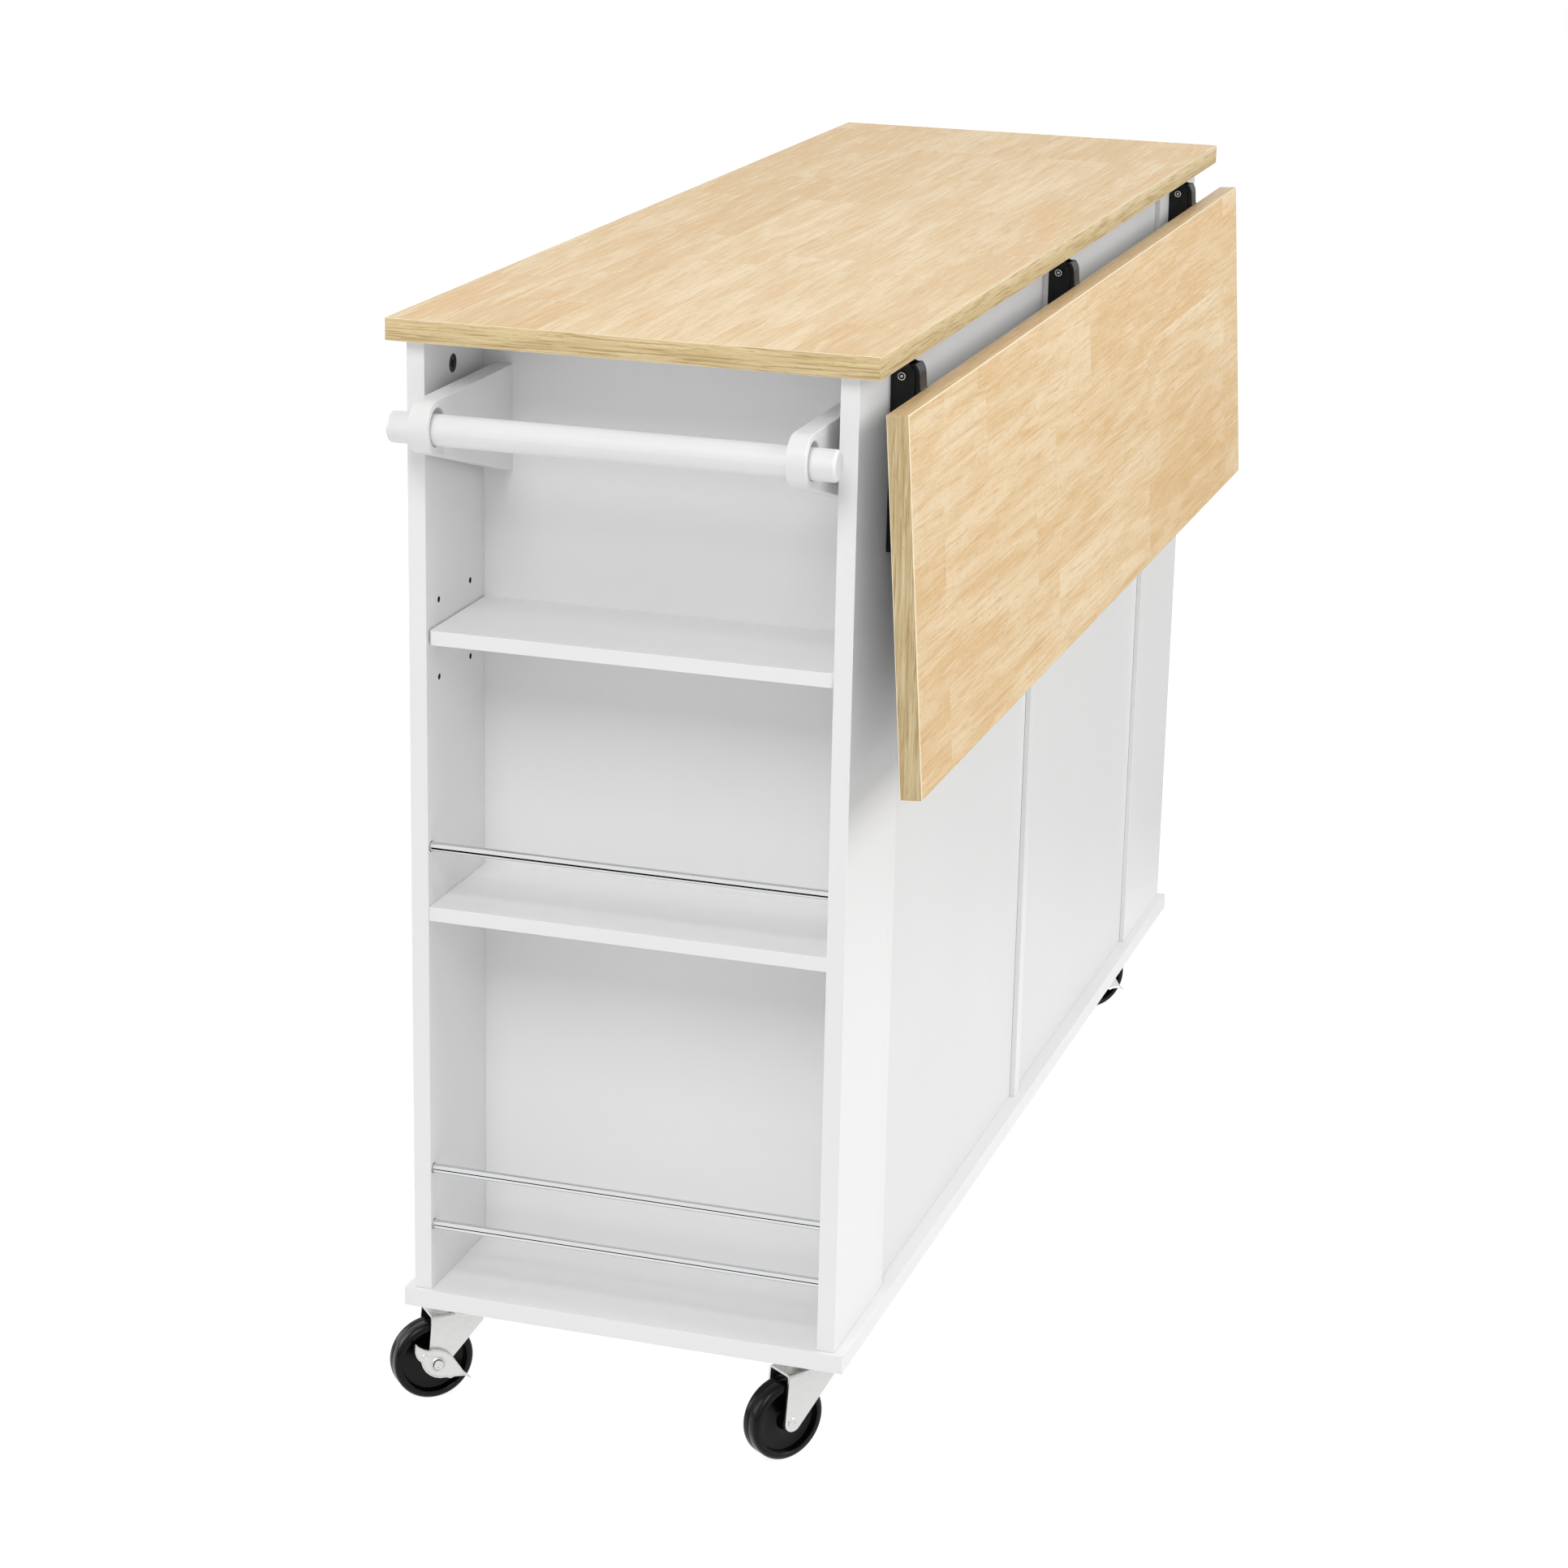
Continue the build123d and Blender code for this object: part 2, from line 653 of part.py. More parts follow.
def hinge_half(level, axis_x, face_x, into, knuckle_rows):
    """Add one hinge leaf, from a face into the gap, with some of the hinge's knuckles."""
    low_z = level - hinge_length / 2
    leaf_x = (min(face_x, face_x + into * hinge_leaf), max(face_x, face_x + into * hinge_leaf))
    slab(leaf_x, (front_y, front_y + hinge_leaf_depth), (low_z, low_z + hinge_length))
    for row in knuckle_rows:
        knuckle_z = low_z + row * knuckle_length + running_gap / 2
        height = knuckle_length - running_gap
        slab(leaf_x, (hinge_y, front_y), (knuckle_z, knuckle_z + height))
        knuckle = Plane.XY.offset(knuckle_z)
        disc(knuckle, [(axis_x, hinge_y)], knuckle_radius, height)
        drill(knuckle, [(axis_x, hinge_y)], hinge_pin_radius + hinge_pin_play, height)


hinge_axes = {}
for name, (low_x, high_x) in cupboards.items():
    outward = hung_from[name]
    divider_face = high_x if outward > 0 else low_x
    free_edge = low_x + front_gap if outward > 0 else high_x - front_gap
    door_edge = divider_face - outward * front_gap
    hinge_axes[name] = divider_face - outward * front_gap / 2
    with BuildPart() as door:
        slab((low_x + front_gap, high_x - front_gap), (front_y, bay_front_y), door_z)
        fillet(door.faces().sort_by(Axis.Y)[0].edges(), radius=front_rounding)
    keep(door, f"{name}_door")
    with BuildPart() as door_knob:
        knob(free_edge + outward * door_knob_from_edge, door_z[1] - door_knob_from_top)
    keep(door_knob, f"{name}_door_knob")
    with BuildPart() as door_hinges:
        for level in hinge_levels:
            hinge_half(level, hinge_axes[name], door_edge, outward, range(1, knuckles, 2))
    keep(door_hinges, f"{name}_door_hinges")

with BuildPart() as cabinet_hinges:
    for name, (low_x, high_x) in cupboards.items():
        outward = hung_from[name]
        divider_face = high_x if outward > 0 else low_x
        for level in hinge_levels:
            hinge_half(level, hinge_axes[name], divider_face, -outward, range(0, knuckles, 2))
            pin_end = Plane.XY.offset(level - hinge_length / 2)
            disc(pin_end, [(hinge_axes[name], hinge_y)], hinge_pin_radius, hinge_length)
            ring = running_gap
            for cap_z in (level - hinge_length / 2 - ring, level + hinge_length / 2 - ring):
                cap = Plane.XY.offset(cap_z)
                disc(cap, [(hinge_axes[name], hinge_y)], knuckle_radius, 2 * ring)
keep(cabinet_hinges, "cabinet_hinges")

# Drawers: a front board, two sides and a back around a thin bottom, on telescopic slides
front_z = (deck_top_z + front_gap, top_z - board - front_gap)
box_z = (deck_top_z + drawer_clear_below, deck_top_z + drawer_clear_below + drawer_height)
box_y = (bay_front_y, panel_front_y - drawer_clear_behind)
bottom_z = (box_z[0] + drawer_bottom_lift, box_z[0] + drawer_bottom_lift + drawer_bottom)
tongue = groove_depth - panel_end_play
slide_mid_z = (box_z[0] + box_z[1]) / 2
slide_y = (bay_front_y + slide_setback, box_y[1] - slide_end_gap)


def channel(back_x, inward, flange, height):
    """Add a slide member: a web on a face at back_x, with two flanges standing inward."""
    web_x = back_x + inward * slide_steel
    edge_x = back_x + inward * flange
    z_span = (slide_mid_z - height / 2, slide_mid_z + height / 2)
    slab((min(back_x, web_x), max(back_x, web_x)), slide_y, z_span)
    flange_x = (min(back_x, edge_x), max(back_x, edge_x))
    slab(flange_x, slide_y, (z_span[0], z_span[0] + slide_steel))
    slab(flange_x, slide_y, (z_span[1] - slide_steel, z_span[1]))


for name, (low_x, high_x) in cupboards.items():
    box_x = (low_x + slide_width, high_x - slide_width)
    inner_x = (box_x[0] + drawer_board, box_x[1] - drawer_board)
    bottom_x = (inner_x[0] - tongue, inner_x[1] + tongue)
    groove_span_z = (bottom_z[0] - groove_play, bottom_z[1] + groove_play)
    groove_x = (inner_x[0] - groove_depth, inner_x[1] + groove_depth)
    with BuildPart() as drawer_front:
        slab((low_x + front_gap, high_x - front_gap), (front_y, bay_front_y), front_z)
        fillet(drawer_front.faces().sort_by(Axis.Y)[0].edges(), radius=front_rounding)
        slab(groove_x, (bay_front_y - groove_depth, bay_front_y), groove_span_z, mode=Mode.SUBTRACT)
    keep(drawer_front, f"{name}_drawer_front")
    with BuildPart() as drawer_box:
        for side_x in ((box_x[0], inner_x[0]), (inner_x[1], box_x[1])):
            slab(side_x, box_y, box_z)
        slab(groove_x, box_y, groove_span_z, mode=Mode.SUBTRACT)
        back_x = (inner_x[0], inner_x[1])
        slab(back_x, (box_y[1] - drawer_board, box_y[1]), (bottom_z[1], box_z[1]))
    keep(drawer_box, f"{name}_drawer_box")
    with BuildPart() as drawer_base:
        slab(bottom_x, (bay_front_y - tongue, box_y[1]), bottom_z)
    keep(drawer_base, f"{name}_drawer_bottom")
    with BuildPart() as drawer_knob:
        knob((low_x + high_x) / 2, (front_z[0] + front_z[1]) / 2)
    keep(drawer_knob, f"{name}_drawer_knob")
    with BuildPart() as drawer_slides:
        inner_height = slide_height - 2 * (slide_steel + slide_play)
        reach = slide_width - slide_steel - slide_play
        channel(box_x[0], -1, reach, inner_height)
        channel(box_x[1], 1, reach, inner_height)
    keep(drawer_slides, f"{name}_drawer_slides")

with BuildPart() as cabinet_slides:
    for low_x, high_x in cupboards.values():
        channel(low_x, 1, slide_flange, slide_height)
        channel(high_x, -1, slide_flange, slide_height)
keep(cabinet_slides, "cabinet_slides")

# Casters. Each is drawn from its swivel axis: along the trail, across it, and up.
swivels = {
    "near_front": (near_end_x - caster_from_end, front_y + caster_from_side),
    "near_back": (near_end_x - caster_from_end, back_y - caster_from_side),
    "far_front": (far_end_x + caster_from_end, front_y + caster_from_side),
    "far_back": (far_end_x + caster_from_end, back_y - caster_from_side),
}
axle_z = wheel_dia / 2
leg_inner = wheel_width / 2 + leg_gap
leg_outer = leg_inner + fork_steel
plate_z = caster_height - plate_thickness
race_z = plate_z - race_height
crown_z = crown_height - fork_steel

with BuildPart() as caster_plates:
    for place in swivels.values():
        with BuildSketch(Plane.XY.offset(plate_z)) as plate:
            with Locations(place):
                RectangleRounded(plate_size, plate_size, plate_corner)
                with GridLocations(plate_hole_spacing, plate_hole_spacing, 2, 2):
                    Circle(plate_hole_dia / 2, mode=Mode.SUBTRACT)
        extrude(plate.sketch, amount=plate_thickness)
        disc(Plane.XY.offset(race_z), [place], race_dia / 2, race_height)
        head_top = crown_z - running_gap
        disc(Plane.XY.offset(head_top), [place], kingpin_dia / 2, race_z - head_top)
        head_low = head_top - kingpin_head_height
        disc(Plane.XY.offset(head_low), [place], kingpin_head_dia / 2, kingpin_head_height)
keep(caster_plates, "caster_plates")


def trail_plane(name, z):
    """A level plane drawn along and across a caster's trail."""
    along, across = trail_directions(name)
    return Plane(origin=(*swivels[name], z), x_dir=along, z_dir=(0, 0, 1))


def trail_directions(name):
    turn = math.radians(headings[name])
    return (math.sin(turn), -math.cos(turn), 0), (math.cos(turn), math.sin(turn), 0)


def side_plane(name, offset):
    """An upright plane beside a caster's wheel, drawn along the trail and up from the axle."""
    along, across = trail_directions(name)
    at_x = swivels[name][0] + along[0] * trail + across[0] * offset
    at_y = swivels[name][1] + along[1] * trail + across[1] * offset
    inward = (-across[0], -across[1], 0)
    return Plane(origin=(at_x, at_y, axle_z), x_dir=along, z_dir=inward)


def fork_leg(name, outer_face):
    """Add one tapered leg of a pressed fork, rounded about the axle."""
    crown_up = crown_height - axle_z
    waist = (-leg_back_top, crown_up - leg_waist_drop)
    with BuildSketch(side_plane(name, outer_face)) as leg:
        with BuildLine():
            CenterArc((leg_lead - leg_ear_radius, 0), leg_ear_radius, 0, 360)
            Polyline((leg_lead_top, crown_up), (-leg_back_top, crown_up), waist)
        make_hull()
        Circle(axle_dia / 2 + axle_play, mode=Mode.SUBTRACT)
    extrude(leg.sketch, amount=fork_steel)


for name, place in swivels.items():
    with BuildPart() as fork:
        with BuildSketch(trail_plane(name, crown_z)) as crown:
            Circle(crown_radius)
            lead_end = trail + leg_lead_top
            back_end = trail - leg_back_top
            with Locations(((lead_end + back_end) / 2, 0)):
                Rectangle(lead_end - back_end, 2 * leg_outer)
        extrude(crown.sketch, amount=fork_steel)
        lower_race_height = race_z - running_gap - crown_height
        disc(Plane.XY.offset(crown_height), [place], lower_race_dia / 2, lower_race_height)
        bore_length = race_z - crown_z
        drill(Plane.XY.offset(crown_z), [place], kingpin_dia / 2 + kingpin_play, bore_length)
        fork_leg(name, leg_outer)
        fork_leg(name, -leg_inner)
        lever_room = lever_depth + 2 * lever_gap if name in braked else 0
        axle_end = leg_outer + lever_room
        head = axle_head_height
        disc(side_plane(name, axle_end), [(0, 0)], axle_dia / 2, axle_end + leg_outer)
        disc(side_plane(name, axle_end + head), [(0, 0)], axle_head_dia / 2, head)
        disc(side_plane(name, -leg_outer), [(0, 0)], axle_head_dia / 2, head)
    keep(fork, f"{name}_fork")

    tread_radius = wheel_dia / 2
    rim_inner = tread_radius - rim_width
    hub_half = leg_inner - running_gap
    half_web = web_thickness / 2
    along, across = trail_directions(name)
    centre = (place[0] + along[0] * trail, place[1] + along[1] * trail, axle_z)
    with BuildPart() as wheel:
        with BuildSketch(Plane(origin=centre, x_dir=across, z_dir=along)) as section:
            with BuildLine():
                Polyline(
                    (0, axle_dia / 2 + axle_play),
                    (hub_half, axle_dia / 2 + axle_play),
                    (hub_half, hub_radius),
                    (half_web, hub_radius + dish_slope),
                    (half_web, rim_inner - dish_slope),
                    (wheel_width / 2, rim_inner),
                    (wheel_width / 2, tread_radius - tread_rounding),
                )
                RadiusArc(
                    (wheel_width / 2, tread_radius - tread_rounding),
                    (wheel_width / 2 - tread_rounding, tread_radius),
                    -tread_rounding,
                )
                Polyline(
                    (wheel_width / 2 - tread_rounding, tread_radius),
                    (0, tread_radius),
                    (0, axle_dia / 2 + axle_play),
                )
            make_face()
            mirror(about=Plane.YZ)
        revolve(section.sketch, axis=Axis(centre, across))
    keep(wheel, f"{name}_wheel")

# Brake levers: a pressed blade beside the wheel, turning on the axle.
# The outline goes round from the tip, with places along the trail and up from the axle.
lever_tip = (19, 21)
lever_chest = (18.5, 11.5)
lever_heel = (13, 3)
lever_throat = (8, -8.5)
lever_belly = (-1, -13)
lever_sole = (-22, -15.5)
lever_tail = (-31, -19.5)
lever_nape = (-24.5, -13.5)
lever_neck = (-20, -7)
lever_shoulder = (-13, 7)
lever_brow = (-1, 11)
lever_saddle = (9, 13)
for name in braked:
    outer_face = leg_outer + lever_gap + lever_depth
    with BuildPart() as brake_lever:
        with BuildSketch(side_plane(name, outer_face)) as blade:
            with BuildLine():
                ThreePointArc(lever_tip, lever_chest, lever_heel)
                ThreePointArc(lever_heel, lever_throat, lever_belly)
                Polyline(lever_belly, lever_sole, lever_tail)
                ThreePointArc(lever_tail, lever_nape, lever_neck)
                ThreePointArc(lever_neck, lever_shoulder, lever_brow)
                ThreePointArc(lever_brow, lever_saddle, lever_tip)
            make_face()
        extrude(blade.sketch, amount=lever_steel)
        with BuildSketch(side_plane(name, outer_face - lever_steel)) as rim:
            add(blade.sketch_local)
            with Locations((-lever_steel / 4, -lever_steel)):
                add(blade.sketch_local, mode=Mode.SUBTRACT)
        extrude(rim.sketch, amount=lever_depth - lever_steel)
        disc(side_plane(name, outer_face), [(0, 0)], lever_boss_radius, lever_depth)
        drill(side_plane(name, outer_face), [(0, 0)], axle_dia / 2 + axle_play, lever_depth)
    keep(brake_lever, f"{name}_brake_lever")

print(f"cupboard {cupboard_width:.1f} wide, top {top_z + top_thickness:.1f} high")
print(f"cabinet middle at {mid_x:.2f}, {mid_y:.2f}")
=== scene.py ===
# %% [markdown]
# A kitchen island on casters, with a drop leaf behind it, is dressed here around a finished CAD frame.
# The frame gives every part its size and place in metres, with Z up and the origin on the floor.
# The leaf hangs on the +Y side, the doors and drawers face -Y, and the towel rail is at +X.
# Many CAD parts keep their own shape and only get a finish. Others are modelled again with more detail.

# %% Load the frame
import json
import math

import bmesh
import bpy
from mathutils import Matrix, Quaternion, Vector


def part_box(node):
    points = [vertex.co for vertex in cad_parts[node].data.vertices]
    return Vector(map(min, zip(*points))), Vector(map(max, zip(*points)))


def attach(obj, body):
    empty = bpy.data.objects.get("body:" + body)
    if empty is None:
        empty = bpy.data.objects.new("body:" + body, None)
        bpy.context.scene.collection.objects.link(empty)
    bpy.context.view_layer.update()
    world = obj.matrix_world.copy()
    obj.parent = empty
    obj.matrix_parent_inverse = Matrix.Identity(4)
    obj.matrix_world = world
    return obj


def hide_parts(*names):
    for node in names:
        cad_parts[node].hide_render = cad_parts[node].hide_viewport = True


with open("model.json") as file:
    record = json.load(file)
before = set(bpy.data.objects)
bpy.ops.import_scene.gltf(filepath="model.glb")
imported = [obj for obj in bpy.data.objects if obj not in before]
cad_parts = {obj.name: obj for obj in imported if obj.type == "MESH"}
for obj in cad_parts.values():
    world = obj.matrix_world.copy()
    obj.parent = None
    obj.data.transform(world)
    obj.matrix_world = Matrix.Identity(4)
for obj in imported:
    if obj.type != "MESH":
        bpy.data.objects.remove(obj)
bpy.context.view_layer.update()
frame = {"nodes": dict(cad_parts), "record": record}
nodes = frame["nodes"]
mm = 0.001

# %% [markdown]
# The camera comes first, because every later look is judged through it. It stands off the open end, on
# the leaf's side and half a metre above the worktop, with a long lens. A Track To constraint could aim
# it, but would undo its roll of little more than one degree, which puts the uprights of the picture where
# they are in the photograph. So the aim is worked out once, and the roll is added to it.

# %% Set up the camera
camera_place = Vector((3.28698, 0.95917, 1.47762))
camera_aim = Vector((0.48085, 0.08206, 0.5536))
camera_roll = math.radians(1.224)
bpy.ops.object.camera_add(location=camera_place)
camera = bpy.context.object
camera.rotation_mode = "QUATERNION"
upright = (camera_aim - camera_place).to_track_quat("-Z", "Y")
camera.rotation_quaternion = upright @ Quaternion((0, 0, 1), camera_roll)
camera.data.lens = 87.525
camera.data.sensor_width = 36
bpy.context.scene.camera = camera
print("camera", round((camera_aim - camera_place).length, 3), "m from its aim")

# %% [markdown]
# Colours are written as they are seen on a screen, in sRGB hex. Shaders work with linear light, so one
# function turns them. Another adds a node to a material, sets what is set on it, and links its inputs.
# Some nodes have inputs that share a name, and those are picked by number.

# %% Helpers for colours and nodes
def srgb(code):
    """Turn a hex colour into linear red, green, blue and alpha."""
    steps = [int(code[i : i + 2], 16) / 255 for i in (0, 2, 4)]
    return (*[s / 12.92 if s <= 0.04045 else ((s + 0.055) / 1.055) ** 2.4 for s in steps], 1)


def add(tree, kind, inputs=None, **settings):
    """Add a node. An input takes a number, a colour, or another node's output to link from."""
    made = tree.nodes.new(kind)
    for name, value in settings.items():
        setattr(made, name, value)
    for name, value in (inputs or {}).items():
        if isinstance(value, bpy.types.NodeSocket):
            tree.links.new(value, made.inputs[name])
        else:
            made.inputs[name].default_value = value
    return made


def new_material(name):
    """Make an empty material and return it with its node tree and object coordinates."""
    material = bpy.data.materials.new(name)
    material.use_nodes = True
    tree = material.node_tree
    tree.nodes.clear()
    return material, tree, add(tree, "ShaderNodeTexCoord").outputs["Object"]


def close_material(tree, shader):
    """Let a shader be what the material shows."""
    add(tree, "ShaderNodeOutputMaterial", {"Surface": shader.outputs["BSDF"]})


print("helpers for materials ready")

# %% [markdown]
# The island stands in an even white studio. The world is a soft white light from all round. A picture
# of a real studio could give that light, but its own colours would tint the white boards. What the camera
# and the reflections see of the world is plain white, by way of the Light Path node, so the background
# is white without more light on the object.

# %% World
ambient = 0.5
scene = bpy.context.scene
scene.view_settings.view_transform = "Standard"
world = scene.world or bpy.data.worlds.new("studio")
scene.world = world
world.use_nodes = True
sky = world.node_tree
sky.nodes.clear()


def looked_at(tree, path):
    """One where the camera, a reflection or clear glass looks at a surface, and zero for other light."""
    seen = add(tree, "ShaderNodeMath", {0: path.outputs["Is Camera Ray"], 1: path.outputs["Is Glossy Ray"]},
               operation="MAXIMUM")
    return add(tree, "ShaderNodeMath", {0: seen.outputs[0], 1: path.outputs["Is Transmission Ray"]},
               operation="MAXIMUM").outputs[0]


seen = looked_at(sky, add(sky, "ShaderNodeLightPath"))
level = add(sky, "ShaderNodeMapRange", {"Value": seen, "To Min": ambient, "To Max": 1.0})
glow = add(sky, "ShaderNodeBackground", {"Color": (1, 1, 1, 1), "Strength": level.outputs[0]})
add(sky, "ShaderNodeOutputWorld", {"Surface": glow.outputs[0]})
print("world light", ambient)

# %% [markdown]
# The floor is white paper that only shows the soft shadow of the island. To the camera it is part lit
# paper and part plain glow, so that it stays white and still holds the shadow. To other light it is plain
# paper. Bright metal needs something dark to reflect, or it looks like grey paint, so in reflections the
# floor glows near the island and turns dark a step away, as the far end of a real studio does.

# %% Floor
floor_size = 16
floor_glow = 1.27
floor_share = 0.7
mirrored_glow = 1.08
ring_start, ring_end = 0.85, 1.25
bpy.ops.mesh.primitive_plane_add(size=floor_size)
floor = bpy.context.object
floor.name = "studio_floor"
floor_paint, tree, place = new_material("studio floor, matt white paper")
path = add(tree, "ShaderNodeLightPath")
lit = add(tree, "ShaderNodeBsdfDiffuse", {"Color": srgb("F4F4F4")})
away = add(tree, "ShaderNodeVectorMath", {0: place}, operation="LENGTH")
ring = add(tree, "ShaderNodeMapRange",
           {"Value": away.outputs["Value"], "From Min": ring_start, "From Max": ring_end,
            "To Min": mirrored_glow, "To Max": 0.0})
strength = add(tree, "ShaderNodeMapRange",
               {"Value": path.outputs["Is Camera Ray"], "To Min": ring.outputs[0], "To Max": floor_glow})
bright = add(tree, "ShaderNodeEmission", {"Color": (1, 1, 1, 1), "Strength": strength.outputs[0]})
share = add(tree, "ShaderNodeMath",
            {0: path.outputs["Is Camera Ray"], 1: floor_share - 1, 2: looked_at(tree, path)},
            operation="MULTIPLY_ADD")
mixed = add(tree, "ShaderNodeMixShader", {0: share.outputs[0], 1: lit.outputs[0], 2: bright.outputs[0]})
add(tree, "ShaderNodeOutputMaterial", {"Surface": mixed.outputs[0]})
floor.data.materials.append(floor_paint)
print("floor", floor_size, "m square")

# %% [markdown]
# Three large lamps stand for the softboxes of a studio: the key on the side of the doors, the fill on
# the side of the leaf, and one above the camera for the open end. A sun or a spot would draw hard
# shadows. An area lamp that is wider than the island draws soft ones and long highlights on the metal.

# %% Lamps
def soft_lamp(name, place, aim, size, power):
    """Add a square area lamp that looks at a point, in metres and watts."""
    bpy.ops.object.light_add(type="AREA", location=place)
    lamp = bpy.context.object
    lamp.name = name
    lamp.data.size = size
    lamp.data.energy = power
    lamp.rotation_euler = (Vector(aim) - Vector(place)).to_track_quat("-Z", "Y").to_euler()


middle = (0, 0, 0.5)
soft_lamp("key", (0.2, -4.2, 1.7), middle, 2.4, 60)
soft_lamp("fill", (-0.2, 4.1, 2.9), middle, 2.6, 97)
soft_lamp("front", (3.8, 0.25, 3.7), (0.5, 0, 0.5), 2.0, 85)

# %% [markdown]
# The worktop and leaf are particle board under a printed wood laminate. The print shows pale oak
# strips glued side by side, each 68 mm wide with its own tone, then broad soft flames, fine grain and
# short pores. All of these run along the board, so the noises are stretched that way. A photograph of
# oak could be laid on instead, but it would repeat along the board and blur from near.
# The grain is drawn a little coarser than real, because real pores are finer than a pixel of the render.

# %% Helpers for patterns
def grain(tree, place, along, across, detail, rough=0.5, bend=0.0):
    """Noise whose grains are so many millimetres long in X and wide in Y and Z."""
    scale = (1 / (along * mm), 1 / (across * mm), 1 / (across * mm))
    stretched = add(tree, "ShaderNodeMapping", {"Vector": place, "Scale": scale})
    return add(tree, "ShaderNodeTexNoise",
               {"Vector": stretched.outputs[0], "Scale": 1, "Detail": detail, "Roughness": rough,
                "Distortion": bend}).outputs[0]


def tint(tree, base, mask, low, high, share, code):
    """Mix a colour in where a mask lies between two levels, up to a share."""
    part = add(tree, "ShaderNodeMapRange",
               {"Value": mask, "From Min": low, "From Max": high, "To Max": share})
    return add(tree, "ShaderNodeMix", {0: part.outputs[0], 6: base, 7: srgb(code)},
               data_type="RGBA").outputs[2]


print("helpers for patterns ready")

# %% Oak laminate
strip_length, strip_width = 360, 68


def oak_laminate(name, turn, start, pale, deep):
    """Printed oak on a board turned about X by so many degrees, with strips from pale to deep."""
    material, tree, place = new_material(name)
    turned_to = add(tree, "ShaderNodeMapping",
                    {"Vector": place, "Rotation": (math.radians(turn), 0, 0), "Location": start})
    place = turned_to.outputs[0]
    strips = add(tree, "ShaderNodeTexBrick",
                 {"Vector": place, "Color1": (0, 0, 0, 1), "Color2": (1, 1, 1, 1), "Scale": 1.0,
                  "Mortar Size": 0.0, "Brick Width": strip_length * mm, "Row Height": strip_width * mm},
                 offset=0.37, offset_frequency=2, squash=1.35, squash_frequency=3)
    strip_tone = strips.outputs["Color"]
    # Each strip reads the noises at a place of its own, so the grain breaks off at its edges.
    shifted = add(tree, "ShaderNodeVectorMath", {0: strip_tone, 1: (3.7, 1.9, 0)}, operation="MULTIPLY")
    own_place = add(tree, "ShaderNodeVectorMath", {0: place, 1: shifted.outputs[0]},
                    operation="ADD").outputs[0]
    flame = grain(tree, own_place, 200, 24, 3, 0.55, 0.8)
    rings = grain(tree, own_place, 90, 3.4, 4, 0.62, 1.1)
    ripple = grain(tree, own_place, 7, 26, 2, 0.5, 1.5)
    pores = grain(tree, own_place, 13, 0.9, 2, 0.7)
    # A layer is a mask, the two levels it lies between, its share and its colour.
    layers = (
        (flame, 0.42, 0.66, 0.6, "E2BC84"),
        (flame, 0.5, 0.32, 0.45, "F5E2BE"),
        (ripple, 0.52, 0.68, 0.2, "D9B27A"),
        (rings, 0.5, 0.68, 0.5, "D2A66C"),
        (rings, 0.46, 0.32, 0.45, "F9E9CB"),
        (pores, 0.58, 0.72, 0.5, "BC8F58"),
    )
    colour = add(tree, "ShaderNodeMix", {0: strip_tone, 6: srgb(pale), 7: srgb(deep)},
                 data_type="RGBA").outputs[2]
    for layer in layers:
        colour = tint(tree, colour, *layer)
    relief = add(tree, "ShaderNodeBump", {"Height": pores, "Strength": 0.12, "Distance": 0.2 * mm})
    shine = add(tree, "ShaderNodeMapRange", {"Value": rings, "To Min": 0.38, "To Max": 0.48})
    shader = add(tree, "ShaderNodeBsdfPrincipled",
                 {"Base Color": colour, "Roughness": shine.outputs[0],
                  "Normal": relief.outputs[0], "IOR": 1.5, "Specular IOR Level": 0.35})
    close_material(tree, shader)
    return material


leaf_tilt = 3.8
# The worktop and the leaf carry the same print, but the worktop's colours are painted darker and the leaf's
# lighter: painted shade and painted light that even out how the lamps fall on the top and on the hanging
# leaf.
worktop_oak_painted_darker = oak_laminate("worktop, printed oak melamine laminate with painted shade", 0, (0.11, 0.02, 0),
                           "EAD2A9", "DBBA87")
leaf_oak_painted_lighter = oak_laminate("leaf, printed oak melamine laminate with painted light", 90 - leaf_tilt, (0.57, 0.31, 0),
                        "F6E0BC", "EACB9E")
print("made", worktop_oak_painted_darker.name, "and", leaf_oak_painted_lighter.name)

# %% [markdown]
# The edges of the boards carry a 1 mm strip of ABS with its own wood print. It is more yellow than the
# faces, with darker broken lines along the strip. The lines are a noise stretched along X, so a strip
# that runs another way turns its coordinates first. One material that follows a UV map could do it all,
# but four plain ones are easier to judge. The leaf's long edges have a calmer print. Where a trimmer has
# rounded the edge of a strip, it is painted a pale cream: a painted highlight along the edge, over the
# paler plastic that the trimmer bares there.

# %% Edge banding
def oak_banding(name, rotation, pale="E6D3A6", deep="CDB17C", strength=1.0):
    """Printed banding whose grain runs along X once the coordinates are turned."""
    material, tree, place = new_material(name)
    place = add(tree, "ShaderNodeMapping", {"Vector": place, "Rotation": rotation}).outputs[0]
    broad = grain(tree, place, 70, 5, 2, 0.6, 0.3)
    lines = grain(tree, place, 52, 1.5, 2, 0.6, 0.5)
    pores = grain(tree, place, 9, 0.6, 1, 0.6)
    layers = (
        (lines, 0.53, 0.62, 0.6 * strength, "A4824C"),
        (lines, 0.44, 0.34, 0.4, "F0DFB6"),
        (pores, 0.6, 0.7, 0.35 * strength, "967644"),
    )
    colour = add(tree, "ShaderNodeMix", {0: broad, 6: srgb(pale), 7: srgb(deep)},
                 data_type="RGBA").outputs[2]
    for layer in layers:
        colour = tint(tree, colour, *layer)
    shader = add(tree, "ShaderNodeBsdfPrincipled", {"Base Color": colour, "Roughness": 0.4, "IOR": 1.53})
    close_material(tree, shader)
    return material


